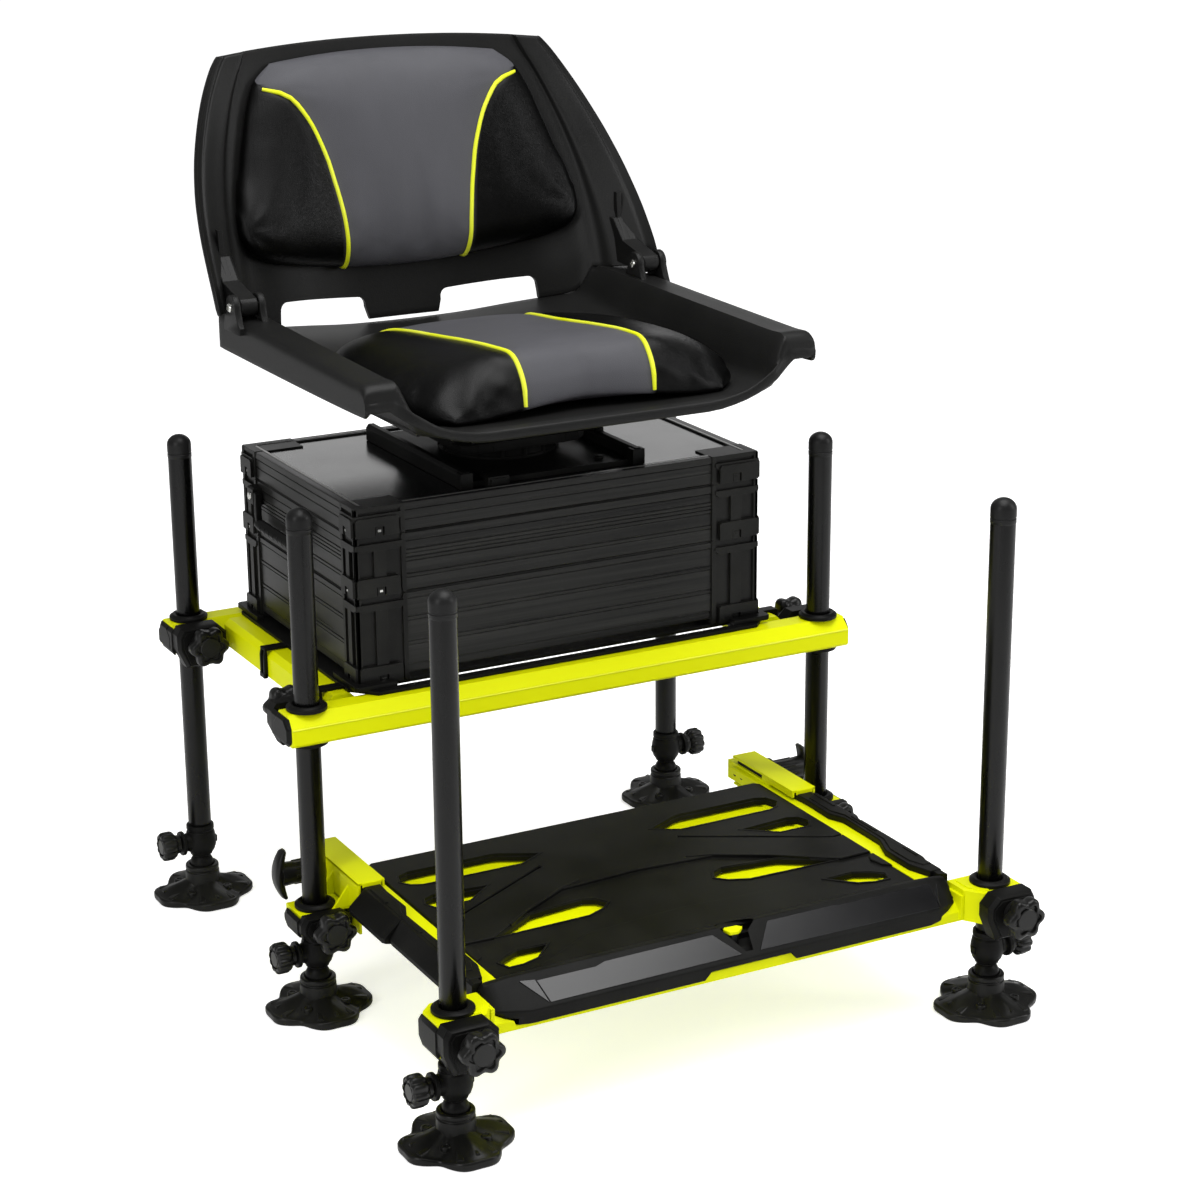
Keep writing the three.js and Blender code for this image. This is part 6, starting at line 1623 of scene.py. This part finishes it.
def stuffed(name, pad, cap):
    """Makes the pad and lets Cloth fill it between its seams, no point moving past the cap."""
    tops, unders = pad.grids()
    form = Form()
    skin(form, tops, unders)
    made = mesh_of(name, form)
    rows, columns = tops.shape[:2]
    half = columns // 2
    seam_columns = (half - pad.inner, half + pad.inner)
    count = rows * columns
    held = made.vertex_groups.new(name="held")
    for index in range(count * 2):
        j, i = divmod(index % count, columns)
        on_rim = j in (0, rows - 1) or i in (0, columns - 1)
        if index >= count or on_rim or i in seam_columns:
            held.add([index], 1.0, "REPLACE")
    panel = made.data.attributes.new("grey_panel", "FLOAT", "POINT")
    for index in range(count * 2):
        j, i = divmod(index % count, columns)
        past_end = 9.0 * (j > pad.seam_end * rows)
        panel.data[index].value = float(pad.inner - abs(i - half)) + past_end
    rest = [vertex.co.copy() for vertex in made.data.vertices]
    cloth = made.modifiers.new("filling", "CLOTH")
    cloth.settings.use_pressure = True
    cloth.settings.uniform_pressure_force = FILLING_PRESSURE
    cloth.settings.effector_weights.gravity = 0
    cloth.settings.vertex_group_mass = "held"
    cloth.settings.quality = 6
    cloth.point_cache.frame_end = FILLING_STEPS
    for step in range(1, FILLING_STEPS + 1):
        bpy.context.scene.frame_set(step)
    applied(made)
    bpy.context.scene.frame_set(1)
    for vertex, start in zip(made.data.vertices, rest):
        moved = vertex.co - start
        if moved.length > cap * MM:
            vertex.co = start + moved.normalized() * cap * MM
    last = int(rows * pad.seam_end)
    seams = [[made.data.vertices[j * columns + i].co.copy() for j in range(last)] for i in seam_columns]
    return made, seams


def creased(made, creases):
    """Moves each point of a pad along its normal by the sum of its creases, in millimetres."""
    normals = [vertex.normal.copy() for vertex in made.data.vertices]
    for vertex, normal in zip(made.data.vertices, normals):
        place = (vertex.co.x / MM, (vertex.co.y - AXIS_Y) / MM, vertex.co.z / MM)
        vertex.co += normal * creases(*place) * MM


def dress_pad(made, creases, body, replaces):
    """Smooths and creases a filled pad, gives it its vinyl and rides it on its body."""
    for round_number in range(2):
        if round_number:
            creased(made, creases)
        modifier(made, "SUBSURF", levels=1, render_levels=1)
        applied(made)
    made.data.materials.append(VINYL_TWO_TONE)
    made.data.shade_smooth()
    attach(made, body)
    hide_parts(*replaces)


def piping(name, seams, body, rise, replaces):
    """Covered cords along the seams, half sunk between the panels."""
    form = Form()
    for path in seams:
        points = []
        for point, lift in zip(path, rise(path)):
            points.append(((point.x + lift[0]) / MM, (point.y + lift[1] - AXIS_Y) / MM,
                           (point.z + lift[2]) / MM))
        radii = [PIPING_RADIUS] * len(points)
        radii[0] = radii[-1] = PIPING_TIP
        pipe(form, points, radii, 14)
    return piece(name, form, [PIPING_LIME], body, replaces, bevel=0)


def pan_level(x, y):
    """The height of the pan's floor at a place."""
    reach = abs(x)
    flat = bounded((y - PAN_FRONT) / (PAN_REAR - PAN_FRONT))
    share = bounded((y + pan_bend(reach, flat) - PAN_FRONT) / (PAN_REAR - PAN_FRONT))
    rises = [mix(front, rear, smooth(share)) for front, rear in zip(FRONT_RISES, REAR_RISES)]
    return mix(pan_floor(share), arm_level(share), float(np.interp(reach, PAN_REACHES, rises)))


SEAT_FRONT, SEAT_REAR = -46, 288


def seat_base(x, across, v, lift):
    """Where a point of the seat pad lies: out by x, a share of the length back, lifted off the pan."""
    y = mix(SEAT_FRONT, SEAT_REAR, v) + 16 * (1 - across) ** 2 * (1 - v) ** 6
    arch = 13 * (1 - across ** 2) ** 2 * (1 - v) ** 12 * bounded(1.2 - lift / 40)
    return x, y, pan_level(x, y) + 0.6 + lift + arch


def seat_creases(x, y, z):
    """Short upright gathers along the front roll and the outer ends, and slack beside the seams."""
    total = 0.0
    low = bounded((z - 600) / 10) * bounded((660 - z) / 34)
    for side in (-1, 1):
        out = x * side
        front = math.exp(-((y + 36) / 26) ** 2) * math.exp(-((out - 138) / 34) ** 2)
        total += 1.0 * front * low * math.sin(out / 4.6 + 1.4 * math.sin(z / 9 + side))
        end = math.exp(-((out - 176) / 16) ** 2) * math.exp(-((y - 8) / 44) ** 2)
        total += 1.5 * end * low * math.sin(y / 5.4 + 1.2 * math.sin(z / 8 - side))
        near_seam = math.exp(-((out - 92) / 15) ** 2) * bounded((20 - y) / 40) * bounded((z - 600) / 10)
        total += 0.7 * near_seam * math.sin(z / 4.2 + x / 9)
    return total


seat_pad = Pad(334, [150, 176, 184, 188, 190, 190, 190, 189, 186, 176, 160, 140, 120],
               [72, 73, 75, 76, 76, 76, 76, 76, 76, 77, 79, 83, 90],
               [64, 64.5, 65.5, 66, 65, 62.5, 59, 55, 50, 45, 40, 35, 31], (112, 40, 92, 44), seat_base)
seat_made, seat_seams = stuffed("seat_pad", seat_pad, 7)
dress_pad(seat_made, seat_creases, "seat", ["seat_cushion"])
piping("seat_piping", seat_seams, "seat",
       lambda path: [(0, -0.0006 * (k < 9), 0.0009) for k in range(len(path))], ["seat_cushion"])

BACK_PAD_FOOT, BACK_PAD_TOP = 690, 896
# The upright folds low in the back pad: place across, width and depth
BACK_FOLDS = ((-34, 9, -1.4), (-8, 8, 1.5), (16, 7, -1.9), (34, 8, 1.5), (-60, 7, 1.0))


def back_base(x, across, v, lift):
    """Where a point of the back pad lies: out by x, a share of the height up, lifted off the shell."""
    bow = 1 - across * across
    z = mix(BACK_PAD_FOOT, BACK_PAD_TOP, v) + 9 * bow * v ** 3 - 20 * bow * (1 - v) ** 3
    return x, back_depth(x, z) - 0.6 - lift, z


def back_creases(x, y, z):
    """Soft upright folds low in the grey panel, and slack in the black panels' lower corners."""
    low = bounded((792 - z) / 60) * bounded((z - 680) / 18)
    folds = sum(math.exp(-((x - place) / width) ** 2) * depth for place, width, depth in BACK_FOLDS)
    total = folds * low
    for side in (-1, 1):
        dx, dz = x - side * 196, z - 735
        distance = math.hypot(dx, dz)
        turn = math.atan2(dz, dx * side)
        swirl = math.sin(turn * 7 + distance / 13)
        total += 0.9 * math.exp(-(distance / 60) ** 2) * swirl * bounded(distance / 20)
        slack = math.exp(-((x * side - 120) / 24) ** 2) * math.exp(-((z - 790) / 60) ** 2)
        total += 0.8 * slack * math.sin((x * side) / 8 + z / 40)
    return total


back_pad = Pad(206, [166, 196, 204, 204, 200, 195, 189, 184, 178, 173, 166, 156, 134],
               [73, 74, 75, 77, 80, 84, 88, 94, 101, 111, 126, 168, 168],
               [30, 35, 38, 39, 38, 37, 36, 35, 34, 33, 32, 30, 28], (62, 32, 40, 26), back_base, 0.765)
back_made, back_seams = stuffed("back_pad", back_pad, 8)
dress_pad(back_made, back_creases, "backrest", ["back_cushion"])
piping("back_piping", back_seams, "backrest", lambda path: [(0, -0.0009, 0)] * len(path), ["back_cushion"])

# Stage
def stage_material(name, colour):
    """A matt floor that reads as white to the camera, so that it runs into the background."""
    made = bpy.data.materials.new(name)
    made.use_nodes = True
    wires = Wires(made.node_tree)
    shader = made.node_tree.nodes["Principled BSDF"]
    shader.inputs["Base Color"].default_value = colour
    shader.inputs["Roughness"].default_value = 0.9
    shader.inputs["Specular IOR Level"].default_value = 0.0
    shader.inputs["Emission Color"].default_value = (1, 1, 1, 1)
    seen = wires.add("LightPath").outputs["Is Camera Ray"]
    wires.feed(shader.inputs["Emission Strength"], wires.ramp(seen, 0, 1, 0, 0.6))
    return made


FLOOR_GAP = 0.0006
# The photograph's camera: picture width and focal length in pixels, angles in degrees, place in millimetres
PICTURE, FOCAL = 1200, 2769.96
AZIMUTH, ELEVATION, ROLL = -28.18, 17.63, -0.46
CAMERA_PLACE = (-1251.92, -2394.23, 1246.60)


def floor():
    reach = 40.0
    shape = bpy.data.meshes.new("studio_floor")
    corners = [(x, y, 0) for x, y in rectangle((-reach, reach), (-reach, reach))]
    shape.from_pydata(corners, [], [(0, 1, 2, 3)])
    made = bpy.data.objects.new("studio_floor", shape)
    bpy.context.scene.collection.objects.link(made)
    made.data.materials.append(stage_material("pale floor", (0.93, 0.93, 0.93, 1)))
    made.location.z = -FLOOR_GAP


def softbox(name, position, aim, size, power):
    """A soft rectangular light of a size in metres and a power in watts."""
    light = bpy.data.lights.new(name, "AREA")
    light.shape = "RECTANGLE"
    light.size, light.size_y = size
    light.energy = power
    made = bpy.data.objects.new(name, light)
    bpy.context.scene.collection.objects.link(made)
    made.location = position
    made.rotation_euler = (Vector(aim) - Vector(position)).to_track_quat("-Z", "Y").to_euler()


def studio():
    """A white world that the camera sees in full and the object only dimly, and four softboxes."""
    world = bpy.data.worlds.new("white studio")
    world.use_nodes = True
    wires = Wires(world.node_tree)
    sky = world.node_tree.nodes["Background"]
    sky.inputs["Color"].default_value = (1, 1, 1, 1)
    path = wires.add("LightPath").outputs
    lit = wires.ramp(path["Is Diffuse Ray"], 0, 1, 0.22, 0.5)
    wires.feed(sky.inputs["Strength"], wires.math("MAXIMUM", lit, path["Is Camera Ray"]))
    bpy.context.scene.world = world
    softbox("overhead softbox", (0.2, -0.4, 2.6), (0, -0.2, 0.3), (2.2, 1.6), 50)
    softbox("left softbox", (-2.4, -1.2, 1.5), (0, 0, 0.4), (0.5, 1.8), 20)
    softbox("right softbox", (2.3, -1.6, 1.4), (0, 0, 0.4), (0.5, 1.8), 20)
    softbox("rear softbox", (1.1, 2.4, 1.17), (0, 0.2, 0.5), (1.9, 0.4), 3)
    bpy.context.scene.view_settings.view_transform = "Standard"


def camera():
    """The photograph's camera, fitted to the legs, rails and box."""
    azimuth, elevation, roll = (math.radians(angle) for angle in (AZIMUTH, ELEVATION, ROLL))
    back = Vector((math.sin(azimuth) * math.cos(elevation), -math.cos(azimuth) * math.cos(elevation),
                   math.sin(elevation)))
    level = Vector((math.cos(azimuth), math.sin(azimuth), 0))
    up = back.cross(level)
    right = level * math.cos(roll) + up * math.sin(roll)
    lens = bpy.data.cameras.new("photo camera")
    lens.sensor_width = 36.0
    lens.lens = lens.sensor_width * FOCAL / PICTURE
    lens.clip_end = 100
    made = bpy.data.objects.new("photo camera", lens)
    bpy.context.scene.collection.objects.link(made)
    turn = Matrix((right, back.cross(right), back)).transposed()
    made.matrix_world = Matrix.Translation(in_row(CAMERA_PLACE)) @ turn.to_4x4()
    bpy.context.scene.camera = made


floor()
studio()
camera()
